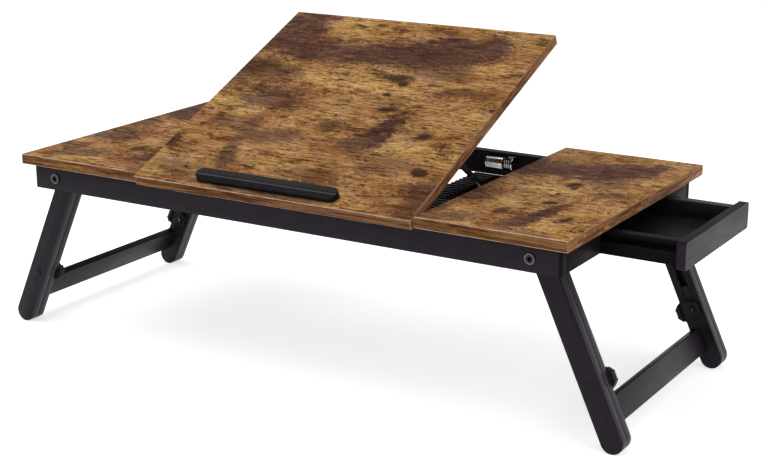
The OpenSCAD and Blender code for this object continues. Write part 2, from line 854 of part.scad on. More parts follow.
// Sprung lever: a hub in the slot, and a thumb plate on the inner plank with a grooved rim at its tip
module latch(side, end) {
    edge = thumb_edge(side, end);
    thumb_y = -outer_face + lever_in;
    color(plastic) ended(end) on_leg(side) translate([0, 0, -latch_at]) difference() {
        union() {
            y_rod(0, 0, hub_d / 2, -outer_face + inner_in, thumb_y + over);
            mirror([edge > 0 ? 0 : 1, 0, 0]) {
                along_y(thumb_y, thumb_y + lever_t) thumb();
                along_y(thumb_y, thumb_y + lever_t + rim_rise) intersection() {
                    thumb();
                    translate([tip_reach - rim_w, -thumb_l / 2]) square([rim_w, thumb_l]);
                }
            }
        }
        y_rod(0, 0, stud_d / 2 + run_clear, -outer_face, thumb_y + lever_t + over);
    }
}

// Outline of the lever's thumb plate: a heel behind the stud, sloping ends and a grooved tip
module thumb() {
    slope_x = tip_reach - tip_run;
    outline = [
        [-heel_reach, -heel_l / 2],
        [0, -thumb_l / 2],
        [slope_x, -thumb_l / 2],
        [tip_reach, -tip_l / 2],
        [tip_reach, tip_l / 2],
        [slope_x, thumb_l / 2],
        [0, thumb_l / 2],
        [-heel_reach, heel_l / 2]
    ];
    difference() {
        polygon(outline);
        for (i = [0 : grip_grooves - 1])
            translate([tip_reach, (i - (grip_grooves - 1) / 2) * groove_step]) circle(groove_r);
    }
}

module crossbar(side) {
    half = outer_face - inner_out;
    edge = side > 0 ? -plank_w / 2 : plank_w / 2 - crossbar_t;
    color(black) on_leg(side) translate([edge, -half, -crossbar_low])
        cube([crossbar_t, 2 * half, crossbar_w]);
}

front_rail();
rear_rail();
left_end_rail();
right_front_stub();
right_rear_stub();
side_panel(-1);  // left_top_panel
side_panel(1);  // right_top_panel
batten(-1);  // left_batten
batten(1);  // right_batten
rack(-1);  // left_rack
rack(1);  // right_rack
front_drawer_runner();
rear_drawer_runner();
leg_bolts();
leg_spacers();
leg_nuts();
hinge_rail_leaves();
hinge_pins();
catch_bracket(-1);  // left_catch_bracket
catch_bracket(1);  // right_catch_bracket
catch_axles();
catch_springs();
catch_roller(-1);  // left_catch_roller
catch_roller(1);  // right_catch_roller
tilt_panel();
book_ledge();
hinge_panel_leaves();
prop_brackets();
prop_pins();
prop(-1);  // left_prop
prop(1);  // right_prop
drawer_front();
drawer_front_side();
drawer_rear_side();
drawer_back();
drawer_bottom();
outer_plank(-1, -1);  // left_front_outer_plank
outer_plank(-1, 1);  // left_rear_outer_plank
slot_guides(-1);  // left_slot_guides
latch_studs(-1);  // left_latch_studs
latch_springs(-1);  // left_latch_springs
inner_plank(-1, -1);  // left_front_inner_plank
inner_plank(-1, 1);  // left_rear_inner_plank
crossbar(-1);  // left_crossbar
latch(-1, -1);  // left_front_latch
latch(-1, 1);  // left_rear_latch
outer_plank(1, -1);  // right_front_outer_plank
outer_plank(1, 1);  // right_rear_outer_plank
slot_guides(1);  // right_slot_guides
latch_studs(1);  // right_latch_studs
latch_springs(1);  // right_latch_springs
inner_plank(1, -1);  // right_front_inner_plank
inner_plank(1, 1);  // right_rear_inner_plank
crossbar(1);  // right_crossbar
latch(1, -1);  // right_front_latch
latch(1, 1);  // right_rear_latch
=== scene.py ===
"""Looks of a folding laptop table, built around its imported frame."""

import json
import logging
import math
from collections.abc import Callable, Sequence
from dataclasses import dataclass, field
from enum import Enum

import bmesh
import bpy
from mathutils import Matrix, Vector


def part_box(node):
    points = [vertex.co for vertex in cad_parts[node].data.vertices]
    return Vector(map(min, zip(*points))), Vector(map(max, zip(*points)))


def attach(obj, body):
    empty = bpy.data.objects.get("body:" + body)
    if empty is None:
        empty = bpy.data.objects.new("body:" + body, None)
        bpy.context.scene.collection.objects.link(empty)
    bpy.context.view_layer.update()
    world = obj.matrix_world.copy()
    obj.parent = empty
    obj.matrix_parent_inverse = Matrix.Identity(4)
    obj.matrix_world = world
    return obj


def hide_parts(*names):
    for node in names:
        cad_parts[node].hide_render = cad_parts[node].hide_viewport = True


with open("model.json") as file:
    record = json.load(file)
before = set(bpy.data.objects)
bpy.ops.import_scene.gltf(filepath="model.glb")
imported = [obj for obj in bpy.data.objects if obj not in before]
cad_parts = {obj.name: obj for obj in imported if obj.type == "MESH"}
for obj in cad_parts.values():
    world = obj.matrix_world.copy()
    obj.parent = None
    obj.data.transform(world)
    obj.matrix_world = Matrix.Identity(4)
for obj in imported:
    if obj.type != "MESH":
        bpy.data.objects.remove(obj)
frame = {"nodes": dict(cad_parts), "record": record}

LOG = logging.getLogger("laptop_table")
MM = 0.001
QUARTER = math.pi / 2

# Name of the meshes' eased-edge attribute, which places edge wear and painted arris highlights
EDGE = "edge"
# Depth of an oval mark, so large that height on the sheet doesn't count
SHEET_DEEP = 1000.0
# Points closer than this are one point, and faces that differ by less than this are one face
WELD = 0.002 * MM
FLAT_ANGLE = math.radians(0.4)
# Angle below which a wire coil is shaded smooth
COIL_ANGLE = math.radians(80)
# Eases of painted boards and of small fittings
BOARD_EASE = 0.8 * MM
FITTING_EASE = 0.3 * MM
# A face looks a certain way when its normal's share of that way is above this
FACING = 0.5
# The same for a crossbar's top, which leans with its legs
BAR_TOP_FACING = 0.7

Colour = tuple[float, float, float]
Triple = tuple[float, float, float]
Picker = Callable[[Vector, Vector], int]


class Side(Enum):
    """Left or right half of the table, seen from the front."""

    LEFT = -1
    RIGHT = 1

    @property
    def word(self) -> str:
        """The side's name as the nodes spell it."""
        return self.name.lower()


class End(Enum):
    """Front or rear leg of one leg frame."""

    FRONT = -1
    REAR = 1

    @property
    def word(self) -> str:
        """The end's name as the nodes spell it."""
        return self.name.lower()


class Run(Enum):
    """Which way the grain runs on a board."""

    ALONG_X = "x"
    ALONG_Y = "y"
    LEFT_LEG = "left_leg"
    RIGHT_LEG = "right_leg"


class Coat(Enum):
    """Plain black paint and its copies with painted light: darker and duller for painted shade, stronger
    specular for a painted sheen on lit sides; its word in the material's name, and its specular level.
    """

    SATIN = ("", 0.13)
    THIN = ("inside_", 0.016)
    SILKY = ("side_", 0.26)


@dataclass(frozen=True)
class Pattern:
    """Sizes of one noise: its scale on each axis, octaves and their strength, its bend and its offset."""

    scale: Triple
    detail: float
    roughness: float = 0.55
    bend: float = 0.0
    shift: Triple = (0, 0, 0)


@dataclass(frozen=True)
class Ramp:
    """A smooth step: the values where it starts and ends, and its results there."""

    low: float
    high: float
    to_low: float = 0.0
    to_high: float = 1.0


@dataclass(frozen=True)
class Mark:
    """One oval mark of the print, in shares of the sheet from its front left corner; it leans in degrees."""

    u: float
    v: float
    half_u: float
    half_v: float
    lean: float = 0.0
    depth: float = 1.0


class Graph:
    """Adds nodes to one node tree and joins them."""

    def __init__(self, tree: bpy.types.NodeTree) -> None:
        """Keeps the tree that the nodes go into."""
        self.tree = tree

    def node(self, kind: str, **settings: object) -> bpy.types.Node:
        """Adds a node.

        Args:
            kind: Blender's name for the node type.
            settings: properties to set on it.

        Returns:
            The new node.
        """
        made = self.tree.nodes.new(kind)
        for name, value in settings.items():
            setattr(made, name, value)
        return made

    def feed(self, socket: bpy.types.NodeSocket, value: object) -> None:
        """Joins another socket to an input, or writes a value on it.

        Args:
            socket: the input.
            value: the other socket, or the value.
        """
        if isinstance(value, bpy.types.NodeSocket):
            self.tree.links.new(value, socket)
        else:
            socket.default_value = value

    def calc(self, operation: str, a: object, b: object = 0.0, clamp: bool = False) -> bpy.types.NodeSocket:
        """Adds a Math node.

        Args:
            operation: the Math node's operation.
            a: first value or socket.
            b: second value or socket.
            clamp: keeps the result between 0 and 1.

        Returns:
            The result's socket.
        """
        made = self.node("ShaderNodeMath", operation=operation, use_clamp=clamp)
        self.feed(made.inputs[0], a)
        self.feed(made.inputs[1], b)
        return made.outputs[0]

    def plus(self, a: object, b: object) -> bpy.types.NodeSocket:
        """Adds two values."""
        return self.calc("ADD", a, b)

    def times(self, a: object, b: object) -> bpy.types.NodeSocket:
        """Multiplies two values."""
        return self.calc("MULTIPLY", a, b)

    def swing(self, noise: object, reach: float) -> bpy.types.NodeSocket:
        """Turns a noise into a value that swings about zero."""
        return self.times(self.calc("SUBTRACT", noise, 0.5), reach)

    def step(self, value: object, ramp: Ramp) -> bpy.types.NodeSocket:
        """Adds a smooth step.

        Args:
            value: what is stepped.
            ramp: where the step starts and ends, and its results there.

        Returns:
            The result's socket.
        """
        made = self.node("ShaderNodeMapRange", interpolation_type="SMOOTHSTEP")
        for socket, given in zip(made.inputs[:5], (value, ramp.low, ramp.high, ramp.to_low, ramp.to_high)):
            self.feed(socket, given)
        return made.outputs["Result"]

    def blend(self, factor: object, a: object, b: object, mode: str = "MIX") -> bpy.types.NodeSocket:
        """Adds a colour Mix node.

        Args:
            factor: share of the second colour.
            a: first colour or socket.
            b: second colour or socket.
            mode: the blend type.

        Returns:
            The mixed colour's socket.
        """
        made = self.node("ShaderNodeMix", data_type="RGBA", blend_type=mode)
        self.feed(made.inputs[0], factor)
        self.feed(made.inputs[6], rgba(a))
        self.feed(made.inputs[7], rgba(b))
        return made.outputs[2]

    def place(self, vector: object, scale: Triple, turn: Triple = (0, 0, 0),
              shift: Triple = (0, 0, 0)) -> bpy.types.NodeSocket:
        """Adds a Mapping node.

        Args:
            vector: coordinates to map.
            scale: stretch on each axis.
            turn: rotation in radians.
            shift: offset added last.

        Returns:
            The mapped coordinates' socket.
        """
        made = self.node("ShaderNodeMapping")
        self.feed(made.inputs["Vector"], vector)
        self.feed(made.inputs["Scale"], scale)
        self.feed(made.inputs["Rotation"], turn)
        self.feed(made.inputs["Location"], shift)
        return made.outputs["Vector"]

    def noise(self, vector: object, kind: Pattern) -> bpy.types.NodeSocket:
        """Adds a Noise Texture.

        Args:
            vector: coordinates to scale.
            kind: sizes of the noise.

        Returns:
            The noise value's socket.
        """
        made = self.node("ShaderNodeTexNoise")
        self.feed(made.inputs["Vector"], self.place(vector, kind.scale, shift=kind.shift))
        self.feed(made.inputs["Scale"], 1.0)
        self.feed(made.inputs["Detail"], kind.detail)
        self.feed(made.inputs["Roughness"], kind.roughness)
        self.feed(made.inputs["Distortion"], kind.bend)
        return made.outputs["Fac"]

    def shifted(self, vector: object, scale: Triple, reach: float) -> bpy.types.NodeSocket:
        """Moves coordinates about by a noise.

        Args:
            vector: coordinates to move.
            scale: scale of the noise on each axis.
            reach: how far a point is moved at most, each way.

        Returns:
            The moved coordinates' socket.
        """
        wave = self.node("ShaderNodeTexNoise")
        self.feed(wave.inputs["Vector"], self.place(vector, scale))
        self.feed(wave.inputs["Scale"], 1.0)
        middle = self.node("ShaderNodeVectorMath", operation="SUBTRACT")
        self.feed(middle.inputs[0], wave.outputs["Color"])
        self.feed(middle.inputs[1], (0.5, 0.5, 0.5))
        moved = self.node("ShaderNodeVectorMath", operation="MULTIPLY_ADD")
        self.feed(moved.inputs[0], middle.outputs[0])
        self.feed(moved.inputs[1], (2 * reach, 2 * reach, 0.0))
        self.feed(moved.inputs[2], vector)
        return moved.outputs[0]

    def oval_field(self, vector: object, marks: Sequence[Mark], ragged: object,
                   fade: Ramp) -> bpy.types.NodeSocket:
        """Adds a field that is high on oval marks and falls off raggedly around them.

        Args:
            vector: sheet coordinates.
            marks: the ovals.
            ragged: value that breaks the outlines.
            fade: distances, in half sizes, where a mark has faded out and where it has its full depth.

        Returns:
            The field's socket.
        """
        covered: object = 0.0
        for mark in marks:
            local = self.node("ShaderNodeMapping", vector_type="TEXTURE")
            self.feed(local.inputs["Vector"], vector)
            self.feed(local.inputs["Location"], (mark.u, mark.v, 0.0))
            self.feed(local.inputs["Rotation"], (0.0, 0.0, math.radians(mark.lean)))
            self.feed(local.inputs["Scale"], (mark.half_u, mark.half_v, SHEET_DEEP))
            away = self.node("ShaderNodeVectorMath", operation="LENGTH")
            self.feed(away.inputs[0], local.outputs["Vector"])
            edge = self.plus(away.outputs["Value"], ragged)
            inside = self.step(edge, Ramp(fade.low, fade.high, 0.0, mark.depth))
            covered = self.calc("MAXIMUM", covered, inside)
        return covered

    def cells(self, vector: object) -> tuple[bpy.types.NodeSocket, bpy.types.NodeSocket]:
        """Adds a Voronoi Texture at scale 1.

        Args:
            vector: scaled coordinates.

        Returns:
            Sockets of the distance to the nearest point and of that cell's chance colour.
        """
        made = self.node("ShaderNodeTexVoronoi")
        self.feed(made.inputs["Vector"], vector)
        self.feed(made.inputs["Scale"], 1.0)
        split = self.node("ShaderNodeSeparateColor")
        self.feed(split.inputs[0], made.outputs["Color"])
        return made.outputs["Distance"], split.outputs[0]


def rgba(colour: object) -> object:
    """Adds an alpha of 1 to a plain colour and leaves a socket as it is.

    Args:
        colour: three shares of light, or a socket.

    Returns:
        The colour of four, or the socket.
    """
    if isinstance(colour, bpy.types.NodeSocket):
        return colour
    return (*colour[:3], 1.0)


def new_group(name: str, inputs: dict[str, object],
              outputs: dict[str, str]) -> tuple[bpy.types.NodeTree, Graph, bpy.types.Node, bpy.types.Node]:
    """Starts a shader node group.

    Args:
        name: the group's name.
        inputs: default of each input; a number, a colour of 3, or None for a vector.
        outputs: socket type of each output.

    Returns:
        The group, its graph, and its input and output nodes.
    """
    group = bpy.data.node_groups.new(name, "ShaderNodeTree")
    for label, default in inputs.items():
        if default is None:
            group.interface.new_socket(label, in_out="INPUT", socket_type="NodeSocketVector")
        elif isinstance(default, tuple):
            made = group.interface.new_socket(label, in_out="INPUT", socket_type="NodeSocketColor")
            made.default_value = rgba(default)
        else:
            made = group.interface.new_socket(label, in_out="INPUT", socket_type="NodeSocketFloat")
            made.default_value = default
    for label, kind in outputs.items():
        group.interface.new_socket(label, in_out="OUTPUT", socket_type=kind)
    graph = Graph(group)
    return group, graph, graph.node("NodeGroupInput"), graph.node("NodeGroupOutput")


# The print's marks, placed on a sheet that just covers the centre panel
KNOTS = (
    Mark(0.600, 0.668, 0.058, 0.027), Mark(0.628, 0.645, 0.022, 0.022), Mark(0.605, 0.575, 0.017, 0.012),
    Mark(0.375, 0.565, 0.013, 0.011, 0, 0.7), Mark(0.645, 0.497, 0.036, 0.017, 10),
    Mark(0.505, 0.382, 0.042, 0.036, 0, 0.8), Mark(0.835, 0.386, 0.034, 0.024, 20),
    Mark(0.917, 0.210, 0.028, 0.021), Mark(0.925, 0.342, 0.007, 0.026, 0, 0.7),
    Mark(0.010, 0.212, 0.030, 0.040, 0, 0.8), Mark(0.255, 0.155, 0.036, 0.056, 25, 0.75),
)
SMEARS_AND_LEDGE_SHADOW = (
    Mark(0.690, 0.385, 0.038, 0.105, -12, 0.95), Mark(0.640, 0.312, 0.060, 0.045, 42, 0.8),
    Mark(0.238, 0.290, 0.030, 0.085, 0, 0.6), Mark(0.230, 0.490, 0.110, 0.060, 0, 0.75),
    Mark(0.330, 0.285, 0.110, 0.038, 10, 0.7), Mark(0.840, 0.615, 0.095, 0.026, 0, 0.6),
    Mark(0.780, 0.225, 0.090, 0.034, 0, 0.45), Mark(0.975, 0.075, 0.050, 0.090, 0, 0.8),
    Mark(0.060, 0.625, 0.140, 0.066, 0, 0.75), Mark(0.150, 0.340, 0.070, 0.030, 0, 0.4),
    Mark(0.120, 0.080, 0.080, 0.030, 0, 0.5), Mark(0.560, 0.130, 0.120, 0.020, 0, 0.4),
    # Painted shadow: the book ledge's shadow, a dark strip just in front of the ledge
    Mark(0.460, 0.020, 0.230, 0.022, 0, 0.65),
)
CLOUDS = (
    Mark(0.668, 0.838, 0.190, 0.074, 12), Mark(0.815, 0.890, 0.060, 0.050),
    Mark(0.480, 0.790, 0.085, 0.065), Mark(0.290, 0.785, 0.300, 0.055),
    Mark(0.090, 0.890, 0.090, 0.130), Mark(0.720, 0.745, 0.100, 0.050, 0, 0.7),
)
GLINTS = (
    Mark(0.280, 0.900, 0.110, 0.100), Mark(0.450, 0.680, 0.190, 0.080),
    Mark(0.080, 0.425, 0.120, 0.060), Mark(0.820, 0.285, 0.160, 0.070),
    Mark(0.900, 0.775, 0.120, 0.040), Mark(0.450, 0.190, 0.200, 0.050, 0, 0.6),
)

# Outputs of a group that makes a whole surface
SURFACE_OUTPUTS = {"Color": "NodeSocketColor", "Roughness": "NodeSocketFloat", "Height": "NodeSocketFloat"}


@dataclass(frozen=True)
class RusticPrint:
    """Printed board pattern: golden patches, fibres, dark clouds, smears, knots, cracks and pits, with one
    smear that is a painted shadow in front of the book ledge.

    Its noises lie on a sheet of size 1 whose fibres run along X. A drift is the scale and the reach of the
    sheet's wandering, and a share is how strongly a kind of mark covers the ground.
    """

    broad_drift: tuple[Triple, float] = ((4, 6, 6), 0.05)
    fine_drift: tuple[Triple, float] = ((11, 26, 26), 0.009)
    fibre: Pattern = Pattern((9, 150, 150), 6, 0.74)
    torn: Pattern = Pattern((16, 46, 46), 7, 0.78, shift=(2.3, 0.8, 0))
    mottle: Pattern = Pattern((52, 95, 95), 5, 0.78)
    patch: Pattern = Pattern((4.5, 11, 11), 7, 0.66)
    stain: Pattern = Pattern((8, 19, 19), 7, 0.72, shift=(5.2, 3.4, 0))
    crack: Pattern = Pattern((9, 70, 70), 3, 0.5, 0.4)
    busy: Pattern = Pattern((7, 12, 12), 4, 0.6, shift=(1.7, 6.1, 0))
    hue: Pattern = Pattern((10, 17, 17), 7, 0.72, shift=(3.1, 7.7, 0))
    pit_scale: Triple = (130, 165, 165)
    torn_reach: float = 4.2
    fibre_reach: float = 1.6
    cloud_ragged: float = 0.9
    knot_ragged: float = 0.8
    cloud_fade: Ramp = Ramp(1.45, 0.85)
    smear_fade: Ramp = Ramp(1.4, 0.8)
    knot_fade: Ramp = Ramp(1.3, 0.5)
    glint_fade: Ramp = Ramp(1.6, 0.3)
    fleck_fibre: float = 0.5
    fleck_ramp: Ramp = Ramp(0.8, 0.9)
    stain_fibre: float = 0.4
    stain_ramp: Ramp = Ramp(0.52, 0.64)
    crack_ramp: Ramp = Ramp(0.036, 0.008)
    crack_places: Ramp = Ramp(0.49, 0.57)
    pit_ramp: Ramp = Ramp(0.42, 0.14)
    pit_luck: Ramp = Ramp(0.74, 0.8)
    patch_ramp: Ramp = Ramp(0.36, 0.62, 0.0, 0.7)
    stripe_ramp: Ramp = Ramp(0.42, 0.62, 0.0, 0.66)
    busy_ramp: Ramp = Ramp(0.4, 0.58, 0.4, 1.25)
    dark_mottle: Ramp = Ramp(0.5, 0.64, 0.0, 0.62)
    light_mottle: Ramp = Ramp(0.46, 0.33, 0.0, 0.7)
    full_ramp: Ramp = Ramp(1.2, 0.86, 0.5, 1.0)
    glint_share: float = 0.5
    fleck_share: float = 0.64
    stain_share: float = 0.66
    cloud_share: float = 0.9
    smear_share: float = 1.0
    knot_share: float = 0.92
    crack_share: float = 0.85
    pit_share: float = 0.6
    hue_ramp: Ramp = Ramp(0.36, 0.64, 0.0, 0.7)
    bruise_share: float = 0.8
    smear_bruise: float = 0.6
    golden: Colour = (1.03, 1.02, 0.8)
    rosy: Colour = (1.0, 0.95, 1.18)
    roughness_ramp: Ramp = Ramp(0.3, 0.7, 0.46, 0.6)
    fibre_relief: float = 0.5

    def build(self) -> bpy.types.NodeTree:
        """Builds the shader node group.

        Returns:
            The group.
        """
        group, g, given, result = new_group(
            "rustic_print",
            {"Vector": None, "Light": (0.4, 0.22, 0.09), "Middle": (0.26, 0.13, 0.05),
             "Dark": (0.08, 0.04, 0.02), "Burn": (0.03, 0.016, 0.01), "Marks": 1.0, "Fibres": 1.0},
            SURFACE_OUTPUTS,
        )
        flat = given.outputs["Vector"]
        light, middle, dark = (given.outputs[shade] for shade in ("Light", "Middle", "Dark"))
        drift = g.shifted(flat, *self.broad_drift)
        fine = g.shifted(flat, *self.fine_drift)
        fibre, torn, mottle = (g.noise(fine, kind) for kind in (self.fibre, self.torn, self.mottle))

        # Marks in their places, with torn outlines
        ragged = g.plus(g.swing(torn, self.torn_reach), g.swing(fibre, self.fibre_reach))
        cloud = g.oval_field(drift, CLOUDS, g.times(ragged, self.cloud_ragged), self.cloud_fade)
        smear_and_shadow = g.oval_field(drift, SMEARS_AND_LEDGE_SHADOW, ragged, self.smear_fade)
        knot = g.oval_field(fine, KNOTS, g.times(ragged, self.knot_ragged), self.knot_fade)
        glint = g.oval_field(drift, GLINTS, ragged, self.glint_fade)

        # Marks that fall by chance
        fleck = g.step(g.plus(torn, g.times(fibre, self.fleck_fibre)), self.fleck_ramp)
        stain = g.plus(g.noise(drift, self.stain), g.swing(fibre, self.stain_fibre))
        stains = g.step(stain, self.stain_ramp)
        crack = g.calc("ABSOLUTE", g.calc("SUBTRACT", g.noise(fine, self.crack), 0.5))
        cracks = g.times(g.step(crack, self.crack_ramp), g.step(torn, self.crack_places))
        prick, luck = g.cells(g.place(flat, self.pit_scale))
        pits = g.times(g.step(prick, self.pit_ramp), g.step(luck, self.pit_luck))

        # Ground of patches and fibres, mottled more in some places than in others
        patches = g.step(g.noise(drift, self.patch), self.patch_ramp)
        tone = g.calc("ADD", patches, g.times(glint, self.glint_share), clamp=True)
        colour = g.blend(tone, middle, light)
        stripe = g.times(g.step(fibre, self.stripe_ramp), given.outputs["Fibres"])
        colour = g.blend(stripe, colour, g.blend(1.0, colour, middle, "MULTIPLY"))
        busy = g.step(g.noise(drift, self.busy), self.busy_ramp)
        colour = g.blend(g.times(g.step(mottle, self.dark_mottle), busy), colour, dark)
        colour = g.blend(g.times(g.step(mottle, self.light_mottle), busy), colour, light)

        # Marks over the ground; the wide ones let some of it through
        full = g.step(g.plus(mottle, torn), self.full_ramp)
        layers = (
            (g.times(fleck, busy), self.fleck_share, "Dark"),
            (stains, self.stain_share, "Dark"),
            (g.times(cloud, full), self.cloud_share, "Burn"),
            (g.times(smear_and_shadow, full), self.smear_share, "Burn"),
            (knot, self.knot_share, "Burn"),
            (cracks, self.crack_share, "Burn"),
            (pits, self.pit_share, "Burn"),
        )
        for mark, share, shade in layers:
            mask = g.times(g.times(mark, share), given.outputs["Marks"])
            colour = g.blend(mask, colour, given.outputs[shade])

        # Hue that drifts, and turns rosy on clouds and smears
        hue = g.step(g.noise(drift, self.hue), self.hue_ramp)
        bruise = g.times(g.plus(cloud, g.times(smear_and_shadow, self.smear_bruise)), self.bruise_share)
        tint = g.blend(g.calc("ADD", hue, bruise, clamp=True), self.golden, self.rosy)
        g.feed(result.inputs["Color"], g.blend(1.0, colour, tint, "MULTIPLY"))
        g.feed(result.inputs["Roughness"], g.step(fibre, self.roughness_ramp))
        relief = g.calc("SUBTRACT", g.times(fibre, self.fibre_relief), g.plus(cracks, pits))
        g.feed(result.inputs["Height"], relief)
        return group


@dataclass(frozen=True)
class PaintedGrain:
    """Paint over wood: grain lines that show through, cloudy tone and a roughness to match."""

    line: Pattern = Pattern((22, 420, 420), 5, 0.7, 0.2)
    cloud: Pattern = Pattern((14, 40, 40), 3)
    pore: Pattern = Pattern((90, 900, 900), 2, 0.6)
    line_ramp: Ramp = Ramp(0.48, 0.74)
    cloud_ramp: Ramp = Ramp(0.35, 0.7, 0.0, 0.25)
    roughness_ramp: Ramp = Ramp(0.7, 1.3, 0.36, 0.52)
    pore_relief: float = 0.4

    def build(self) -> bpy.types.NodeTree:
        """Builds the shader node group.

        Returns:
            The group.
        """
        group, g, given, result = new_group(
            "painted_grain",
            {"Vector": None, "Paint": (0.02, 0.02, 0.02), "Raised": (0.05, 0.05, 0.05), "Grain": 1.0},
            SURFACE_OUTPUTS,
        )
        along, paint, high = (given.outputs[label] for label in ("Vector", "Paint", "Raised"))
        line, cloud, pore = (g.noise(along, kind) for kind in (self.line, self.cloud, self.pore))
        colour = g.blend(g.times(g.step(line, self.line_ramp), given.outputs["Grain"]), paint, high)
        colour = g.blend(g.step(cloud, self.cloud_ramp), colour, high)
        g.feed(result.inputs["Color"], colour)
        g.feed(result.inputs["Roughness"], g.step(g.plus(cloud, line), self.roughness_ramp))
        g.feed(result.inputs["Height"], g.plus(line, g.times(pore, self.pore_relief)))
        return group


@dataclass(frozen=True)
class RubbedEdge:
    """Edge wear and painted highlights: the eased edges show a paler or darker edge colour in broken
    stretches; on skins and paint it stands for wear, on the print it is wear and a painted highlight, and on
    the front and back edge bands a painted highlight.
    """

    stretch: Pattern = Pattern((60, 60, 60), 4, 0.65)
    stretch_ramp: Ramp = Ramp(0.3, 0.62, 0.35, 1.0)

    def build(self) -> bpy.types.NodeTree:
        """Builds the shader node group.

        Returns:
            The group.
        """
        group, g, given, result = new_group(
            "rubbed_edge",
            {"Vector": None, "Color": (0.1, 0.1, 0.1), "Rubbed": (0.2, 0.2, 0.2),
             "Edge": 0.0, "Amount": 0.5},
            {"Color": "NodeSocketColor"},
        )
        broken = g.step(g.noise(given.outputs["Vector"], self.stretch), self.stretch_ramp)
        marked = g.times(broken, given.outputs["Edge"])
        mask = g.calc("MULTIPLY", marked, given.outputs["Amount"], clamp=True)
        g.feed(result.inputs["Color"], g.blend(mask, given.outputs["Color"], given.outputs["Rubbed"]))
        return group


@dataclass(frozen=True)
class FineScuff:
    """Skin of metal and plastic: faint clouds, fine scuffs and a low grain."""

    skin: Pattern = Pattern((1800, 1800, 1800), 2, 0.5)
    scuff: Pattern = Pattern((900, 140, 420), 4, 0.7)
    cloud: Pattern = Pattern((70, 70, 70), 3)
    worn_ramp: Ramp = Ramp(0.85, 1.25)
    scuff_relief: float = 0.5

    def build(self) -> bpy.types.NodeTree:
        """Builds the shader node group.

        Returns:
            The group.
        """
        group, g, given, result = new_group(
            "fine_scuff",
            {"Vector": None, "Color": (0.5, 0.5, 0.5), "Scuffed": (0.4, 0.4, 0.4),
             "Smooth": 0.25, "Rough": 0.4},
            SURFACE_OUTPUTS,
        )
        coords, smooth, rough = (given.outputs[label] for label in ("Vector", "Smooth", "Rough"))
        skin, scuff, cloud = (g.noise(coords, kind) for kind in (self.skin, self.scuff, self.cloud))
        marked = g.step(g.plus(scuff, cloud), self.worn_ramp)
        g.feed(result.inputs["Color"], g.blend(marked, given.outputs["Color"], given.outputs["Scuffed"]))
        g.feed(result.inputs["Roughness"], g.plus(smooth, g.times(marked, g.calc("SUBTRACT", rough, smooth))))
        g.feed(result.inputs["Height"], g.plus(skin, g.times(scuff, self.scuff_relief)))
        return group


GROUP_MAKERS = {
    "rustic_print": RusticPrint(),
    "painted_grain": PaintedGrain(),
    "rubbed_edge": RubbedEdge(),
    "fine_scuff": FineScuff(),
}


class Coating:
    """A new material with its Principled shader, ready for pattern groups."""

    def __init__(self, name: str) -> None:
        """Starts the material and keeps its shader and coordinates.

        Args:
            name: the material's name.
        """
        self.material = bpy.data.materials.new(name)
        self.material.use_nodes = True
        self.graph = Graph(self.material.node_tree)
        self.shader = self.material.node_tree.nodes["Principled BSDF"]
        self.coords = self.graph.node("ShaderNodeTexCoord").outputs["Object"]

    def group(self, name: str, **values: object) -> bpy.types.Node:
        """Places a shared pattern group.

        Args:
            name: the group's name.
            values: what goes into its inputs, with underscores for spaces.

        Returns:
            The group node.
        """
        tree = bpy.data.node_groups.get(name) or GROUP_MAKERS[name].build()
        made = self.graph.node("ShaderNodeGroup", node_tree=tree)
        self.fill(made, values)
        return made

    def edge(self) -> bpy.types.NodeSocket:
        """Reads how far a point lies on an eased edge, from the mesh's own attribute."""
        return self.graph.node("ShaderNodeAttribute", attribute_name=EDGE).outputs["Fac"]

    def set(self, **values: object) -> None:
        """Writes values on the shader's sockets, with underscores for spaces."""
        self.fill(self.shader, values)

    def fill(self, node: bpy.types.Node, values: dict[str, object]) -> None:
        """Writes values on a node's sockets.

        Args:
            node: the node.
            values: value, colour or socket for each input's name, with underscores for spaces.
        """
        for label, value in values.items():
            plain = isinstance(value, tuple)
            self.graph.feed(node.inputs[label.replace("_", " ")], rgba(value) if plain else value)

    def bump(self, height: bpy.types.NodeSocket, strength: float, depth: float) -> None:
        """Feeds a height through a Bump node into the shader's normal.

        Args:
            height: the height's socket.
            strength: the Bump node's strength.
            depth: depth of the relief in metres.
        """
        made = self.graph.node("ShaderNodeBump")
        self.graph.feed(made.inputs["Strength"], strength)
        self.graph.feed(made.inputs["Distance"], depth)
        self.graph.feed(made.inputs["Height"], height)
        self.graph.feed(self.shader.inputs["Normal"], made.outputs["Normal"])


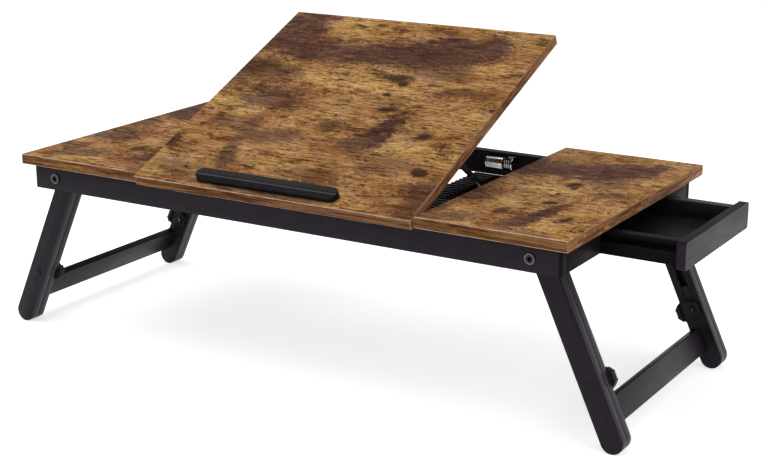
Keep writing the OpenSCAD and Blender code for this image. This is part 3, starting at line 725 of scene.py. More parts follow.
@dataclass(frozen=True)
class BoardPrint:
    """Printed wood face of one panel, with the sheet's front left corner, its size and its slope."""

    name: str
    corner: Triple
    size: tuple[float, float]
    lean: float = 0.0
    light: Colour = (0.7, 0.438, 0.19)
    middle: Colour = (0.338, 0.15, 0.059)
    dark: Colour = (0.038, 0.0132, 0.0068)
    burn: Colour = (0.031, 0.0136, 0.0146)
    # Paler arris colour: edge wear and a painted highlight along the eased edges
    rubbed: Colour = (0.5, 0.32, 0.18)
    wear: float = 0.6
    gloss: float = 0.004
    relief: float = 0.25
    relief_depth: float = 0.4 * MM

    def material(self) -> bpy.types.Material:
        """Builds the face's material.

        Returns:
            The material.
        """
        coat = Coating(self.name)
        sheet = coat.graph.node("ShaderNodeMapping", vector_type="TEXTURE")
        wide, deep = self.size
        coat.graph.feed(sheet.inputs["Vector"], coat.coords)
        coat.graph.feed(sheet.inputs["Location"], self.corner)
        coat.graph.feed(sheet.inputs["Rotation"], (self.lean, 0.0, 0.0))
        coat.graph.feed(sheet.inputs["Scale"], (wide, deep, deep))
        face = coat.group("rustic_print", Vector=sheet.outputs["Vector"], Light=self.light,
                          Middle=self.middle, Dark=self.dark, Burn=self.burn)
        marked = coat.group("rubbed_edge", Vector=coat.coords, Color=face.outputs["Color"],
                          Rubbed=self.rubbed, Edge=coat.edge(), Amount=self.wear)
        coat.set(Base_Color=marked.outputs["Color"], Roughness=face.outputs["Roughness"],
                 Specular_IOR_Level=self.gloss)
        coat.bump(face.outputs["Height"], self.relief, self.relief_depth)
        return coat.material


@dataclass(frozen=True)
class EdgeBand:
    """Striped band glued on a panel's edges, with a painted highlight along the front arris and painted light
    on the side bands.
    """

    name: str
    run: Run
    lean: float
    light: Colour
    middle: Colour
    rubbed: Colour
    dark: Colour = (0.06, 0.027, 0.015)
    burn: Colour = (0.03, 0.016, 0.01)
    stretch: Triple = (1.1, 1.1, 3.6)
    shift: Triple = (0.37, 0.11, 0.05)
    marks: float = 0.3
    fibres: float = 1.3
    wear: float = 1.0
    gloss: float = 0.004
    relief: float = 0.2
    relief_depth: float = 0.3 * MM

    def material(self) -> bpy.types.Material:
        """Builds the band's material.

        Returns:
            The material.
        """
        coat = Coating(self.name)
        level = coat.graph.place(coat.coords, (1, 1, 1), (-self.lean, 0, 0))
        along = coat.graph.place(level, (1, 1, 1), (0, 0, QUARTER if self.run is Run.ALONG_Y else 0.0))
        place = coat.graph.place(along, self.stretch, shift=self.shift)
        face = coat.group("rustic_print", Vector=place, Light=self.light, Middle=self.middle,
                          Dark=self.dark, Burn=self.burn, Marks=self.marks, Fibres=self.fibres)
        marked = coat.group("rubbed_edge", Vector=coat.coords, Color=face.outputs["Color"],
                          Rubbed=self.rubbed, Edge=coat.edge(), Amount=self.wear)
        coat.set(Base_Color=marked.outputs["Color"], Roughness=face.outputs["Roughness"],
                 Specular_IOR_Level=self.gloss)
        coat.bump(face.outputs["Height"], self.relief, self.relief_depth)
        return coat.material


# Light, middle and arris shades of the bands. On the bands along X the arris shade is a painted highlight;
# the bands along Y are painted lighter where less light falls on them, and their arris is darker.
BAND_TONES_AND_PAINTED_LIGHT: dict[Run, tuple[Colour, Colour, Colour]] = {
    Run.ALONG_X: ((0.52, 0.275, 0.125), (0.22, 0.094, 0.042), (0.78, 0.56, 0.38)),
    Run.ALONG_Y: ((0.66, 0.39, 0.2), (0.29, 0.14, 0.068), (0.3, 0.16, 0.08)),
}


@dataclass(frozen=True)
class SatinPaint:
    """Black paint over wood in three copies: satin; with painted shade, darker and duller, where shade falls
    inside the frame; with a painted sheen, a stronger specular, on sides that light falls on.
    """

    run: Run
    coat: Coat = Coat.SATIN
    lean: float = math.radians(24.5)
    paint: Colour = (0.0122, 0.0093, 0.0142)
    raised: Colour = (0.028, 0.0228, 0.0312)
    rubbed: Colour = (0.075, 0.069, 0.077)
    thin_paint: Colour = (0.0085, 0.0072, 0.0088)
    thin_raised: Colour = (0.0145, 0.0125, 0.015)
    sheen: Colour = (1.0, 0.91, 1.0)
    grain: float = 0.8
    wear: float = 0.6
    relief: float = 0.24
    relief_depth: float = 0.3 * MM

    @property
    def turn(self) -> Triple:
        """Rotation that lays the grain's way along X.

        Returns:
            Angles about X, Y and Z.
        """
        return {
            Run.ALONG_X: (0, 0, 0),
            Run.ALONG_Y: (0, 0, QUARTER),
            Run.LEFT_LEG: (0, QUARTER - self.lean, 0),
            Run.RIGHT_LEG: (0, QUARTER + self.lean, 0),
        }[self.run]

    def material(self) -> bpy.types.Material:
        """Builds the paint's material.

        Returns:
            The material.
        """
        word, gloss = self.coat.value
        coat = Coating(f"black_paint_{word}{self.run.value}")
        along = coat.graph.place(coat.coords, (1, 1, 1), self.turn)
        paint, raised, rubbed = self.paint, self.raised, self.rubbed
        # Painted shade: the shaded copy takes darker paint and grain, with edges no paler than the grain
        if self.coat is Coat.THIN:
            paint, raised, rubbed = self.thin_paint, self.thin_raised, self.thin_raised
        wood = coat.group("painted_grain", Vector=along, Paint=paint, Raised=raised, Grain=self.grain)
        marked = coat.group("rubbed_edge", Vector=coat.coords, Color=wood.outputs["Color"],
                          Rubbed=rubbed, Edge=coat.edge(), Amount=self.wear)
        coat.set(Base_Color=marked.outputs["Color"], Roughness=wood.outputs["Roughness"],
                 Specular_IOR_Level=gloss, Specular_Tint=self.sheen)
        coat.bump(wood.outputs["Height"], self.relief, self.relief_depth)
        return coat.material


def paints(run: Run, *coats: Coat) -> tuple[SatinPaint, ...]:
    """Gives the paints of one board, one for each coat."""
    return tuple(SatinPaint(run, coat) for coat in coats)


@dataclass(frozen=True)
class Skin:
    """Plain metal or moulded plastic with a scuffed skin."""

    name: str
    colour: Colour
    scuffed: Colour
    smooth: float
    rough: float
    metallic: float = 0.0
    rubbed: Colour = (0.5, 0.5, 0.5)
    wear: float = 0.3
    relief: float = 0.1
    relief_depth: float = 0.1 * MM
    gloss: float = 0.5

    def material(self) -> bpy.types.Material:
        """Builds the skin's material.

        Returns:
            The material.
        """
        coat = Coating(self.name)
        skin = coat.group("fine_scuff", Vector=coat.coords, Color=self.colour, Scuffed=self.scuffed,
                          Smooth=self.smooth, Rough=self.rough)
        marked = coat.group("rubbed_edge", Vector=coat.coords, Color=skin.outputs["Color"],
                          Rubbed=self.rubbed, Edge=coat.edge(), Amount=self.wear)
        coat.set(Base_Color=marked.outputs["Color"], Roughness=skin.outputs["Roughness"],
                 Metallic=self.metallic, Specular_IOR_Level=self.gloss)
        coat.bump(skin.outputs["Height"], self.relief, self.relief_depth)
        return coat.material


Finish = BoardPrint | EdgeBand | SatinPaint | Skin

BLACK_PLASTIC = Skin("black_plastic", (0.009, 0.0085, 0.0095), (0.017, 0.016, 0.018), 0.4, 0.6,
                     rubbed=(0.05, 0.048, 0.052), wear=0.5, relief=0.25, gloss=0.14)
# Painted shade: the racks in the bay are darker and duller than the other black parts
RACK_BLACK_SHADED = Skin("rack_black", (0.005, 0.005, 0.0055), (0.009, 0.009, 0.0095), 0.5, 0.65,
                  rubbed=(0.012, 0.012, 0.013), relief=0.25, gloss=0.06)
LEDGE_BLACK = Skin("ledge_black", (0.0056, 0.0044, 0.0056), (0.0098, 0.008, 0.01), 0.3, 0.45,
                   rubbed=(0.03, 0.03, 0.032), relief=0.15, gloss=0.08)
# Painted highlight: a pale line along the ledge's crease
LEDGE_CREASE_HIGHLIGHT = Skin("ledge_line", (0.1, 0.09, 0.09), (0.16, 0.15, 0.15), 0.3, 0.45,
                  wear=0.0, gloss=0.1)
DARK_STEEL = Skin("dark_steel", (0.02, 0.02, 0.022), (0.045, 0.045, 0.048), 0.3, 0.5, metallic=0.85,
                  rubbed=(0.16, 0.16, 0.17))
BRIGHT_STEEL = Skin("bright_steel", (0.46, 0.46, 0.48), (0.24, 0.24, 0.26), 0.1, 0.3, metallic=1.0,
                    rubbed=(0.85, 0.85, 0.86))
# Painted highlight: a brighter metal ring on the flat of each bolt head
BOLT_RIM_HIGHLIGHT = Skin("bolt_rim", (0.19, 0.19, 0.2), (0.11, 0.11, 0.12), 0.2, 0.35, metallic=1.0)
BOLT_FACE = Skin("bolt_face", (0.02, 0.02, 0.022), (0.045, 0.045, 0.047), 0.24, 0.42, metallic=1.0,
                 wear=0.0)
# Painted shade in the bolts' hex sockets
SOCKET_SHADE = Skin("socket_shade", (0.008, 0.008, 0.009), (0.015, 0.015, 0.016), 0.5, 0.7,
                    wear=0.0, gloss=0.1)


class Wardrobe:
    """Materials made so far, one for each finish."""

    def __init__(self) -> None:
        """Starts with nothing made."""
        self.made: dict[Finish, bpy.types.Material] = {}

    def get(self, finish: Finish) -> bpy.types.Material:
        """Gives the finish's material, building it at first use.

        Args:
            finish: the finish.

        Returns:
            Its material.
        """
        if finish not in self.made:
            self.made[finish] = finish.material()
            LOG.info("finish %s", self.made[finish].name)
        return self.made[finish]


WARDROBE = Wardrobe()


def bodies_by_node() -> dict[str, str]:
    """Finds the body that carries each CAD node.

    Returns:
        Body name for each node name.
    """
    rows = frame["record"]["behaviour"]["bodies"]
    return {node: body for body, nodes in rows.items() for node in nodes}


BODY_OF = bodies_by_node()


def adopt(obj: bpy.types.Object, body: str, nodes: Sequence[str] = ()) -> bpy.types.Object:
    """Hangs a finished piece on its body.

    Args:
        obj: the piece, in place.
        body: CAD body that carries it.
        nodes: CAD nodes that it stands for.

    Returns:
        The same piece.
    """
    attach(obj, body)
    if nodes:
        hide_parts(*nodes)
    LOG.info("piece %s on %s, %d faces", obj.name, body, len(obj.data.polygons))
    return obj


def one_finish(centre: Vector, normal: Vector) -> int:
    """Picks the first finish for every face."""
    return 0


def at_sides(centre: Vector, normal: Vector) -> int:
    """Picks the second finish on faces that look left or right."""
    return int(abs(normal.x) > FACING)


def on_top_or_sides(centre: Vector, normal: Vector) -> int:
    """Picks the third finish on a crossbar's top, and the second on its sides."""
    return 2 if normal.z > BAR_TOP_FACING else at_sides(centre, normal)


def inside_front_rail(centre: Vector, normal: Vector) -> int:
    """Picks the second finish on the front rail's inner face, top and ends."""
    return int(max(normal.y, normal.z, abs(normal.x)) > FACING)


def inside_rear_rail(centre: Vector, normal: Vector) -> int:
    """Picks the second finish on the rear rail's inner face, top and ends."""
    return int(max(-normal.y, normal.z, abs(normal.x)) > FACING)


def inside_left_rail(centre: Vector, normal: Vector) -> int:
    """Picks the second finish on the left end rail's inner face."""
    return int(normal.x > FACING)


def inside_drawer_front(centre: Vector, normal: Vector) -> int:
    """Picks the second finish on the drawer front's inner face and top."""
    return int(max(-normal.x, normal.z) > FACING)


@dataclass
class EasedPiece:
    """One CAD node redrawn with eased edges, smooth rounds and finishes picked by face."""

    node: str
    finishes: Sequence[Finish]
    ease: float = 0.6 * MM
    steps: int = 2
    shortest: float = 1.0 * MM
    pick: Picker = one_finish
    smooth_angle: float = math.radians(32)
    sharp_angle: float = math.radians(40)
    clamp: bool = True

    def build(self) -> bpy.types.Object:
        """Builds the piece and hangs it in place of its node.

        Returns:
            The new object.
        """
        work = bmesh.new()
        work.from_mesh(frame["nodes"][self.node].data)
        bmesh.ops.remove_doubles(work, verts=work.verts, dist=WELD)
        bmesh.ops.dissolve_limit(work, angle_limit=FLAT_ANGLE, verts=work.verts, edges=work.edges)
        work.verts.layers.float.new(EDGE)
        if self.ease > 0:
            self.ease_edges(work)
        for face in work.faces:
            face.material_index = self.pick(face.calc_center_median(), face.normal)
            face.smooth = True
        mesh = bpy.data.meshes.new(f"{self.node}_finished")
        work.to_mesh(mesh)
        work.free()
        mesh.set_sharp_from_angle(angle=self.smooth_angle)
        for finish in self.finishes:
            mesh.materials.append(WARDROBE.get(finish))
        obj = bpy.data.objects.new(mesh.name, mesh)
        bpy.context.scene.collection.objects.link(obj)
        return adopt(obj, BODY_OF[self.node], [self.node])

    def ease_edges(self, work: bmesh.types.BMesh) -> None:
        """Rounds the outer sharp edges and marks them for edge wear and painted arris highlights.

        Args:
            work: the mesh being shaped.
        """
        sharp = [
            edge for edge in work.edges
            if edge.is_manifold and edge.is_convex and edge.calc_length() > self.shortest
            and edge.calc_face_angle(0.0) > self.sharp_angle
        ]
        if not sharp:
            return
        made = bmesh.ops.bevel(work, geom=sharp, offset=self.ease, offset_type="OFFSET", affect="EDGES",
                               segments=self.steps, profile=0.5, clamp_overlap=self.clamp, material=-1)
        eased = set(made["faces"])
        layer = work.verts.layers.float[EDGE]
        for vert in {v for face in eased for v in face.verts}:
            vert[layer] = float(all(face in eased for face in vert.link_faces))


@dataclass
class RimmedHeads(EasedPiece):
    """Bolts redrawn with a rim marked off on the flat of each head, for a painted highlight."""

    head_y: float = 0.0
    rim_w: float = 0.8 * MM
    flat_share: float = 0.97

    def ease_edges(self, work: bmesh.types.BMesh) -> None:
        """Marks the rims off, and leaves the edges sharp.

        Args:
            work: the mesh being shaped.
        """
        flats = [
            face for face in work.faces
            if abs(face.normal.y) > self.flat_share
            and self.head_y - abs(face.calc_center_median().y) < self.rim_w / 2
        ]
        bmesh.ops.inset_region(work, faces=flats, thickness=self.rim_w)


def socket_set(modifier: bpy.types.NodesModifier, tree: bpy.types.NodeTree,
               values: dict[str, object]) -> None:
    """Writes a Geometry Nodes modifier's inputs by their identifiers.

    Args:
        modifier: the modifier.
        tree: its node tree.
        values: value for each input's name.
    """
    for item in tree.interface.items_tree:
        if item.item_type == "SOCKET" and item.in_out == "INPUT" and item.name in values:
            modifier[item.identifier] = values[item.name]


# Sides of a screw's head, and its proportions in head radii and head heights
HEAD_SIDES = 24
HEAD_TOP_SHARE = 0.7
CROSS_LONG_SHARE = 1.05
CROSS_SHORT_SHARE = 0.26
RECESS_SHARE = 1.2


def screw_row_tree() -> bpy.types.NodeTree:
    """Builds the tree that sets a row of cross-head screws along a line.

    Returns:
        The Geometry Nodes tree.
    """
    tree = bpy.data.node_groups.get("screw_row")
    if tree:
        return tree
    tree = bpy.data.node_groups.new("screw_row", "GeometryNodeTree")
    tree.is_modifier = True
    sockets = {"Geometry": "Geometry", "Count": "Int", "Start": "Vector", "Step": "Vector", "Turn": "Vector",
               "Head Radius": "Float", "Head Height": "Float", "Material": "Material"}
    for label, kind in sockets.items():
        tree.interface.new_socket(label, in_out="INPUT", socket_type=f"NodeSocket{kind}")
    tree.interface.new_socket("Geometry", in_out="OUTPUT", socket_type="NodeSocketGeometry")
    g = Graph(tree)
    given = g.node("NodeGroupInput").outputs
    line = g.node("GeometryNodeMeshLine", mode="OFFSET")
    g.feed(line.inputs["Count"], given["Count"])
    g.feed(line.inputs["Start Location"], given["Start"])
    g.feed(line.inputs["Offset"], given["Step"])
    head = g.node("GeometryNodeMeshCone")
    g.feed(head.inputs["Vertices"], HEAD_SIDES)
    g.feed(head.inputs["Radius Bottom"], given["Head Radius"])
    g.feed(head.inputs["Radius Top"], g.times(given["Head Radius"], HEAD_TOP_SHARE))
    g.feed(head.inputs["Depth"], given["Head Height"])
    long_side = g.times(given["Head Radius"], CROSS_LONG_SHARE)
    short_side = g.times(given["Head Radius"], CROSS_SHORT_SHARE)
    recess = g.times(given["Head Height"], RECESS_SHARE)
    bars = g.node("GeometryNodeJoinGeometry")
    for size in ((long_side, short_side, recess), (short_side, long_side, recess)):
        shape = g.node("ShaderNodeCombineXYZ")
        for socket, value in zip(shape.inputs, size):
            g.feed(socket, value)
        bar = g.node("GeometryNodeMeshCube")
        g.feed(bar.inputs["Size"], shape.outputs[0])
        g.feed(bars.inputs[0], bar.outputs["Mesh"])
    lift = g.node("ShaderNodeCombineXYZ")
    g.feed(lift.inputs["Z"], given["Head Height"])
    raised = g.node("GeometryNodeTransform")
    g.feed(raised.inputs["Geometry"], bars.outputs[0])
    g.feed(raised.inputs["Translation"], lift.outputs[0])
    cut = g.node("GeometryNodeMeshBoolean", operation="DIFFERENCE")
    g.feed(cut.inputs["Mesh 1"], head.outputs["Mesh"])
    g.feed(cut.inputs["Mesh 2"], raised.outputs["Geometry"])
    spread = g.node("GeometryNodeInstanceOnPoints")
    g.feed(spread.inputs["Points"], line.outputs["Mesh"])
    g.feed(spread.inputs["Instance"], cut.outputs["Mesh"])
    g.feed(spread.inputs["Rotation"], given["Turn"])
    real = g.node("GeometryNodeRealizeInstances")
    g.feed(real.inputs["Geometry"], spread.outputs["Instances"])
    dressed = g.node("GeometryNodeSetMaterial")
    g.feed(dressed.inputs["Geometry"], real.outputs["Geometry"])
    g.feed(dressed.inputs["Material"], given["Material"])
    g.feed(g.node("NodeGroupOutput").inputs["Geometry"], dressed.outputs["Geometry"])
    return tree


@dataclass
class ScrewRow:
    """A row of cross-head screws on one face of a body."""

    name: str
    body: str
    start: Vector
    step: Vector
    count: int
    out: Vector
    finish: Finish = DARK_STEEL
    slot: str = "dark_steel"
    head_r: float = 2.6 * MM
    head_h: float = 1.1 * MM
    smooth_angle: float = math.radians(30)

    def build(self) -> bpy.types.Object:
        """Builds the row and hangs it on its body.

        Returns:
            The new object.
        """
        tree = screw_row_tree()
        carrier = bpy.data.objects.new(f"{self.name}_line", bpy.data.meshes.new(f"{self.name}_line"))
        bpy.context.scene.collection.objects.link(carrier)
        modifier = carrier.modifiers.new("screws", "NODES")
        modifier.node_group = tree
        turn = self.out.to_track_quat("Z", "Y").to_euler()
        socket_set(modifier, tree, {
            "Count": self.count, "Start": self.start, "Step": self.step, "Turn": Vector(turn),
            "Head Radius": self.head_r, "Head Height": self.head_h, "Material": WARDROBE.get(self.finish),
        })
        bpy.context.view_layer.update()
        evaluated = carrier.evaluated_get(bpy.context.evaluated_depsgraph_get())
        mesh = bpy.data.meshes.new_from_object(evaluated)
        mesh.name = self.name
        carrier.modifiers.remove(modifier)
        bpy.data.objects.remove(carrier)
        mesh.set_sharp_from_angle(angle=self.smooth_angle)
        obj = bpy.data.objects.new(self.name, mesh)
        bpy.context.scene.collection.objects.link(obj)
        return adopt(obj, self.body)


@dataclass
class SubAssembly:
    """A group of pieces that is built and dressed together."""

    name: str
    made: list[bpy.types.Object] = field(default_factory=list)

    def add(self, piece: EasedPiece | ScrewRow) -> None:
        """Builds a piece and remembers it."""
        self.made.append(piece.build())

    def build(self) -> None:
        """Builds the pieces; each kind of sub-assembly has its own."""
        raise NotImplementedError

    def report(self) -> None:
        """Logs how many pieces were built."""
        LOG.info("%s: %d pieces", self.name, len(self.made))


@dataclass(frozen=True)
class SheetCut:
    """Part of the printed sheet that a side panel shows: its front left corner and its enlargement."""

    u: float
    v: float
    wide: float
    deep: float

    def laid(self, name: str, low: Vector, high: Vector) -> BoardPrint:
        """Lays the sheet so that a panel shows this part of it.

        Args:
            name: the finish's name.
            low: lowest corner of the panel.
            high: highest corner of the panel.

        Returns:
            The panel's printed finish.
        """
        size = ((high.x - low.x) * self.wide, (high.y - low.y) * self.deep)
        corner = (low.x - self.u * size[0], low.y - self.v * size[1], low.z)
        return BoardPrint(name, corner, size)


SHEET_CUTS = {
    Side.LEFT: SheetCut(0.11, 0.195, 1.5, 1.35),
    Side.RIGHT: SheetCut(0.206, 0.242, 1.27, 1.3),
}


def board_size() -> tuple[float, float]:
    """Reads the depth and thickness of a side panel, which are the centre panel's too."""
    low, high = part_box("left_top_panel")
    return high.y - low.y, high.z - low.z


def panel_lean() -> float:
    """Works out the centre panel's slope from the frame.

    Returns:
        The slope in radians.
    """
    low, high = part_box("tilt_panel")
    depth, thick = board_size()
    return math.asin((high.z - low.z) / math.hypot(depth, thick)) - math.atan2(thick, depth)


def panel_up(lean: float) -> Vector:
    """Gives the way that the face of a panel looks."""
    return Vector((0, -math.sin(lean), math.cos(lean)))


def panel_front(lean: float) -> Vector:
    """Gives the way that the front edge of a panel looks."""
    return Vector((0, -math.cos(lean), -math.sin(lean)))


@dataclass
class Tabletop(SubAssembly):
    """Fixed side panels and the tilting centre panel."""

    ease: float = 1.1 * MM
    ease_steps: int = 3
    face_share: float = 0.8
    side_share: float = 0.6

    def build(self) -> None:
        """Builds the three panels."""
        lean = panel_lean()
        LOG.info("centre panel leans %.2f degrees", math.degrees(lean))
        for side in Side:
            node = f"{side.word}_top_panel"
            self.panel(node, SHEET_CUTS[side].laid(f"rustic_{side.word}", *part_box(node)), 0.0)
        depth, thick = board_size()
        low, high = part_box("tilt_panel")
        corner = (low.x, low.y + thick * math.sin(lean), low.z)
        centre = BoardPrint("rustic_centre", corner, (high.x - low.x, depth), lean)
        self.panel("tilt_panel", centre, lean)

    def panel(self, node: str, face: BoardPrint, lean: float) -> None:
        """Builds one panel with a printed face and banded edges.

        Args:
            node: the panel's CAD node.
            face: finish of the top and the underside.
            lean: the panel's slope.
        """
        up = panel_up(lean)
        word = "leaning" if lean else "level"
        bands = [EdgeBand(f"edge_band_{word}_{run.value}", run, lean, *shades)
                 for run, shades in BAND_TONES_AND_PAINTED_LIGHT.items()]

        def face_or_band(centre: Vector, normal: Vector) -> int:
            """Picks the print on the wide faces and the band that runs along each edge.

            Args:
                centre: middle of the face; not used.
                normal: the face's normal.

            Returns:
                0 for the print, 1 for the band along X and 2 for the band along Y.
            """
            if abs(normal.dot(up)) > self.face_share:
                return 0
            return 2 if abs(normal.x) > self.side_share else 1

        self.add(EasedPiece(node, (face, *bands), self.ease, self.ease_steps, pick=face_or_band))


@dataclass
class TiltWorks(SubAssembly):
    """Book ledge, hinges, prop arms, brackets and racks of the tilting panel."""

    crease_angle: float = math.radians(20)
    crease_low: float = 0.92
    crease_high: float = 0.998
    crease_front: float = 0.05
    hinge_ease: float = 0.15 * MM
    screw_inset: float = 8 * MM
    screw_rise: float = 4 * MM
    screw_r: float = 2.2 * MM

    def build(self) -> None:
        """Builds the moving works under and on the centre panel."""
        lean = panel_lean()
        up, front = panel_up(lean), panel_front(lean)

        def crease_line(centre: Vector, normal: Vector) -> int:
            """Picks the painted highlight where the ledge's top turns down to its front."""
            turning = self.crease_low < normal.dot(up) < self.crease_high
            return int(turning and normal.dot(front) > self.crease_front)

        self.add(EasedPiece("book_ledge", (LEDGE_BLACK, LEDGE_CREASE_HIGHLIGHT), pick=crease_line,
                            smooth_angle=self.crease_angle, sharp_angle=self.crease_angle, clamp=False))
        for node in ("hinge_rail_leaves", "hinge_panel_leaves", "hinge_pins", "prop_brackets", "prop_pins"):
            self.add(EasedPiece(node, (DARK_STEEL,), self.hinge_ease))
        for side in Side:
            self.add(EasedPiece(f"{side.word}_prop", (DARK_STEEL,), FITTING_EASE))
            self.add(EasedPiece(f"{side.word}_rack", (RACK_BLACK_SHADED,), FITTING_EASE))
            self.rack_screws(side)

    def rack_screws(self, side: Side) -> None:
        """Sets the two screws that hold a rack to its batten.

        Args:
            side: side of the table that the rack is on.
        """
        low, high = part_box(f"{side.word}_rack")
        face_x = low.x if side is Side.RIGHT else high.x
        start = Vector((face_x, low.y + self.screw_inset, low.z + self.screw_rise))
        step = Vector((0, high.y - low.y - 2 * self.screw_inset, 0))
        inwards = Vector((-side.value, 0, 0))
        self.add(ScrewRow(f"{side.word}_rack_screws", "frame", start, step, 2, inwards, head_r=self.screw_r))


@dataclass
class RailFrame(SubAssembly):
    """Rails, battens, drawer runners, bolts, spacers and nuts."""

    socket_r: float = 3.6 * MM
    rim_t: float = 0.5 * MM
    rim_w: float = 1.0 * MM
    batten_ease: float = 0.4 * MM
    spacer_shortest: float = 0.2 * MM
    batten_half_w: float = 15 * MM
    batten_screw_inset: float = 16 * MM
    batten_screw_count: int = 5
    rail_screw_inset: float = 60 * MM
    rail_screw_count: int = 6

    def build(self) -> None:
        """Builds the fixed frame under the panels."""
        # Painted shade: the second paint of each board is the shaded copy, on the faces inside the frame, the
        # stubs' sides, the runners and the battens
        along_x = paints(Run.ALONG_X, Coat.SATIN, Coat.THIN)
        along_y = paints(Run.ALONG_Y, Coat.SATIN, Coat.THIN)
        self.add(EasedPiece("front_rail", along_x, pick=inside_front_rail))
        self.add(EasedPiece("rear_rail", along_x, pick=inside_rear_rail))
        self.add(EasedPiece("left_end_rail", along_y, pick=inside_left_rail))
        for node in ("right_front_stub", "right_rear_stub"):
            self.add(EasedPiece(node, along_y, pick=at_sides))
        for node in ("front_drawer_runner", "rear_drawer_runner"):
            self.add(EasedPiece(node, along_x[1:]))
        for side in Side:
            self.add(EasedPiece(f"{side.word}_batten", along_y[1:], self.batten_ease))
        low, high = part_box("leg_bolts")
        head_r = (high.z - low.z) / 2
        axis = Vector((high.x - head_r, high.y, (low.z + high.z) / 2))
        self.add(RimmedHeads("leg_bolts", (BOLT_RIM_HIGHLIGHT, SOCKET_SHADE, BOLT_FACE), head_y=high.y,
                             pick=lambda centre, normal: self.bolt_face(centre, axis, head_r)))
        self.add(EasedPiece("leg_spacers", (BLACK_PLASTIC,), FITTING_EASE, shortest=self.spacer_shortest))
        self.add(EasedPiece("leg_nuts", (DARK_STEEL,), FITTING_EASE))
        for side in Side:
            self.batten_screws(side)
        for node in ("front_rail", "rear_rail"):
            self.rail_screws(node)

    def rail_screws(self, node: str) -> None:
        """Sets the screws that hold a long rail to the panels, in its lower edge.

        Args:
            node: the rail's CAD node.
        """
        low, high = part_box(node)
        count, inset = self.rail_screw_count, self.rail_screw_inset
        start = Vector((low.x + inset, (low.y + high.y) / 2, low.z))
        step = Vector(((high.x - low.x - 2 * inset) / (count - 1), 0, 0))
        self.add(ScrewRow(f"{node}_screws", "frame", start, step, count, Vector((0, 0, -1))))

    def bolt_face(self, centre: Vector, axis: Vector, head_r: float) -> int:
        """Picks the finish of a bolt's face.

        Args:
            centre: middle of the face.
            axis: distance of a bolt's axis and head from the table's middle, and the axis's height.
            head_r: radius of a bolt's head.

        Returns:
            0 on the rim, which has a painted highlight, 1 in the socket, which has painted shade, and 2
            elsewhere.
        """
        out = math.hypot(abs(centre.x) - axis.x, centre.z - axis.z)
        sunk = axis.y - abs(centre.y)
        if out < self.socket_r and self.rim_t < sunk < self.socket_r:
            return 1
        return 0 if out > head_r - self.rim_w and sunk < self.rim_t else 2

    def batten_screws(self, side: Side) -> None:
        """Sets the screws that hold a batten to the side panel.

        Args:
            side: side of the table that the batten is on.
        """
        name = f"{side.word}_batten"
        low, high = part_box(name)
        count, inset = self.batten_screw_count, self.batten_screw_inset
        outer_x = low.x if side is Side.LEFT else high.x
        start = Vector((outer_x - side.value * self.batten_half_w, low.y + inset, low.z))
        step = Vector((0, (high.y - low.y - 2 * inset) / (count - 1), 0))
        self.add(ScrewRow(f"{name}_screws", "frame", start, step, count, Vector((0, 0, -1))))


@dataclass
class RollerCatches(SubAssembly):
    """Chrome roller catches in the rear rail."""

    sheet_ease: float = 0.2 * MM
    roller_ease: float = 0.5 * MM
    roller_shortest: float = 0.2 * MM
    axle_shortest: float = 0.1 * MM

    def build(self) -> None:
        """Builds both catches."""
        for side in Side:
            self.add(EasedPiece(f"{side.word}_catch_bracket", (BRIGHT_STEEL,), self.sheet_ease))
            self.add(EasedPiece(f"{side.word}_catch_roller", (BRIGHT_STEEL,), self.roller_ease,
                                shortest=self.roller_shortest))
        self.add(EasedPiece("catch_axles", (DARK_STEEL,), self.sheet_ease, shortest=self.axle_shortest))
        self.add(EasedPiece("catch_springs", (BRIGHT_STEEL,), 0.0, smooth_angle=COIL_ANGLE))


@dataclass
class DrawerBox(SubAssembly):
    """Drawer front, sides, back and bottom, with painted shade (darker, duller paint) on the faces that lie
    inside the frame.
    """

    front_ease_steps: int = 3

    def build(self) -> None:
        """Builds the drawer's boards."""
        along_x = paints(Run.ALONG_X, Coat.SATIN, Coat.THIN)
        along_y = paints(Run.ALONG_Y, Coat.SATIN, Coat.THIN)
        self.add(EasedPiece("drawer_front", along_y, BOARD_EASE, self.front_ease_steps,
                            pick=inside_drawer_front))
        self.add(EasedPiece("drawer_back", along_y[1:]))
        self.add(EasedPiece("drawer_front_side", along_x[1:]))
        self.add(EasedPiece("drawer_rear_side", along_x[:1]))
        self.add(EasedPiece("drawer_bottom", along_x[1:]))


@dataclass
class LegFrame(SubAssembly):
    """One folding leg frame with its sliding planks, crossbar and height latches."""

    side: Side = Side.LEFT
    stud_ease: float = 0.25 * MM
    stud_shortest: float = 0.2 * MM

    @property
    def run(self) -> Run:
        """Grain direction of this side's planks."""
        return Run.LEFT_LEG if self.side is Side.LEFT else Run.RIGHT_LEG

    def build(self) -> None:
        """Builds both legs and what joins them."""
        word = self.side.word
        # Painted light: the planks' and crossbar's sides take a copy of the paint with a painted sheen, and
        # the crossbar's top a copy with painted shade
        along_leg = paints(self.run, Coat.SATIN, Coat.SILKY)
        along_bar = paints(Run.ALONG_Y, Coat.SATIN, Coat.SILKY, Coat.THIN)
        for end in End:
            leg = f"{word}_{end.word}"
            for plank in ("outer_plank", "inner_plank"):
                self.add(EasedPiece(f"{leg}_{plank}", along_leg, BOARD_EASE, pick=at_sides))
            self.add(EasedPiece(f"{leg}_latch", (BLACK_PLASTIC,), FITTING_EASE))
        self.add(EasedPiece(f"{word}_crossbar", along_bar, BOARD_EASE, pick=on_top_or_sides))
        self.add(EasedPiece(f"{word}_slot_guides", along_leg[:1], FITTING_EASE))
        self.add(EasedPiece(f"{word}_latch_studs", (BLACK_PLASTIC,), self.stud_ease,
                            shortest=self.stud_shortest))
        self.add(EasedPiece(f"{word}_latch_springs", (BRIGHT_STEEL,), 0.0, smooth_angle=COIL_ANGLE))


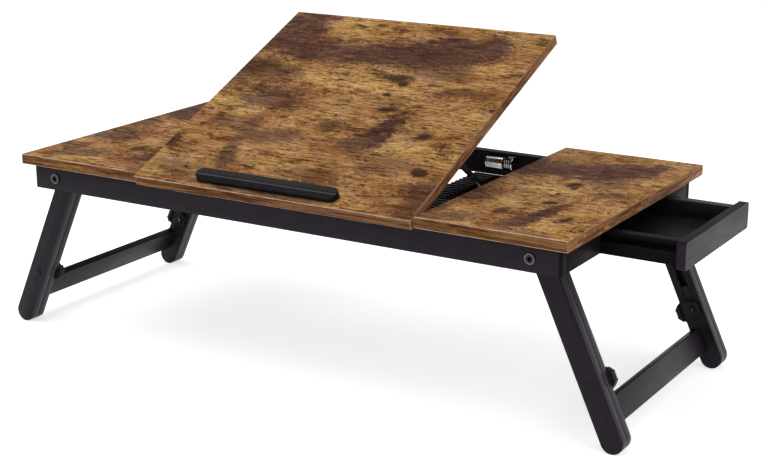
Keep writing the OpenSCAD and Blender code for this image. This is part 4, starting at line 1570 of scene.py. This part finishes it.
@dataclass(frozen=True)
class Lamp:
    """One soft area lamp."""

    name: str
    place: Triple
    aim: Triple
    size: tuple[float, float]
    watts: float

    def build(self) -> None:
        """Builds the lamp and turns it to its aim."""
        data = bpy.data.lights.new(self.name, "AREA")
        data.shape = "RECTANGLE"
        data.size, data.size_y = self.size
        data.energy = self.watts
        obj = bpy.data.objects.new(self.name, data)
        obj.location = self.place
        obj.rotation_euler = (Vector(self.aim) - Vector(self.place)).to_track_quat("-Z", "Y").to_euler()
        bpy.context.scene.collection.objects.link(obj)


@dataclass
class Studio:
    """White floor, world, lamps and the photograph's camera."""

    floor_half: float = 9.0
    floor_drop: float = 0.2 * MM
    floor_colour: Colour = (0.93, 0.93, 0.93)
    floor_roughness: float = 0.9
    floor_glow: float = 0.62
    white: Colour = (1.0, 1.0, 1.0)
    world_light: float = 0.5
    lamps: Sequence[Lamp] = (
        Lamp("overhead", (-0.6, -0.4, 2.6), (0, 0, 0.1), (2.6, 2.2), 30),
        Lamp("right_wall", (2.6, 0.2, 1.1), (0, 0, 0.15), (1.8, 1.4), 13.5),
    )
    azimuth: float = 31.23
    elevation: float = 16.26
    focal_px: float = 1606.4
    picture_px: float = 768.0
    sensor_mm: float = 36.0
    distance: float = 1.86393
    aim: Triple = (0.0, -0.005, 0.15)
    right_shift: float = 0.03312
    up_shift: float = -0.01813

    def build(self) -> None:
        """Builds the studio."""
        self.build_floor()
        self.build_world()
        for lamp in self.lamps:
            lamp.build()
        self.build_camera()
        bpy.context.scene.view_settings.view_transform = "Standard"

    def shown(self, graph: Graph) -> bpy.types.NodeSocket:
        """Adds a value that is 1 for rays that show the background: straight, mirrored or through glass.

        Args:
            graph: the floor's or the world's graph.

        Returns:
            The value's socket.
        """
        path = graph.node("ShaderNodeLightPath").outputs
        mirrored = graph.calc("MAXIMUM", path["Is Glossy Ray"], path["Is Transmission Ray"])
        return graph.calc("MAXIMUM", path["Is Camera Ray"], mirrored)

    def build_floor(self) -> None:
        """Lays the pale floor that keeps the table's shadow."""
        half = self.floor_half
        corners = [(-half, -half, 0), (half, -half, 0), (half, half, 0), (-half, half, 0)]
        mesh = bpy.data.meshes.new("floor")
        mesh.from_pydata(corners, [], [(0, 1, 2, 3)])
        obj = bpy.data.objects.new("floor", mesh)
        obj.location.z = -self.floor_drop
        bpy.context.scene.collection.objects.link(obj)
        coat = Coating("floor_white")
        coat.set(Base_Color=self.floor_colour, Roughness=self.floor_roughness, Specular_IOR_Level=0.0,
                 Emission_Color=self.white,
                 Emission_Strength=coat.graph.times(self.shown(coat.graph), self.floor_glow))
        mesh.materials.append(coat.material)

    def build_world(self) -> None:
        """Sets a white world that lights softly and shows white to camera and mirror rays."""
        world = bpy.data.worlds.new("studio")
        bpy.context.scene.world = world
        world.use_nodes = True
        g = Graph(world.node_tree)
        strength = g.step(self.shown(g), Ramp(0.0, 1.0, self.world_light, 1.0))
        back = world.node_tree.nodes["Background"]
        g.feed(back.inputs["Color"], rgba(self.white))
        g.feed(back.inputs["Strength"], strength)

    def build_camera(self) -> None:
        """Sets the camera that was fitted to the photograph's corners."""
        a, e = math.radians(self.azimuth), math.radians(self.elevation)
        right = Vector((math.cos(a), math.sin(a), 0))
        up = Vector((-math.sin(a) * math.sin(e), math.cos(a) * math.sin(e), math.cos(e)))
        back = Vector((math.sin(a) * math.cos(e), -math.cos(a) * math.cos(e), math.sin(e)))
        data = bpy.data.cameras.new("camera")
        data.sensor_fit = "HORIZONTAL"
        data.sensor_width = self.sensor_mm
        data.lens = self.focal_px / self.picture_px * self.sensor_mm
        obj = bpy.data.objects.new("camera", data)
        obj.location = Vector(self.aim) + back * self.distance + right * self.right_shift + up * self.up_shift
        obj.rotation_euler = Matrix((right, up, back)).transposed().to_euler()
        bpy.context.scene.collection.objects.link(obj)
        bpy.context.scene.camera = obj


def main() -> None:
    logging.basicConfig(level=logging.INFO, format="%(message)s")
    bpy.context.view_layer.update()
    assemblies = [
        Tabletop("tabletop"),
        TiltWorks("tilt works"),
        RailFrame("rail frame"),
        RollerCatches("roller catches"),
        DrawerBox("drawer"),
        LegFrame("left leg frame", side=Side.LEFT),
        LegFrame("right leg frame", side=Side.RIGHT),
    ]
    for assembly in assemblies:
        assembly.build()
        assembly.report()
    Studio().build()


if __name__ == "__main__":
    main()
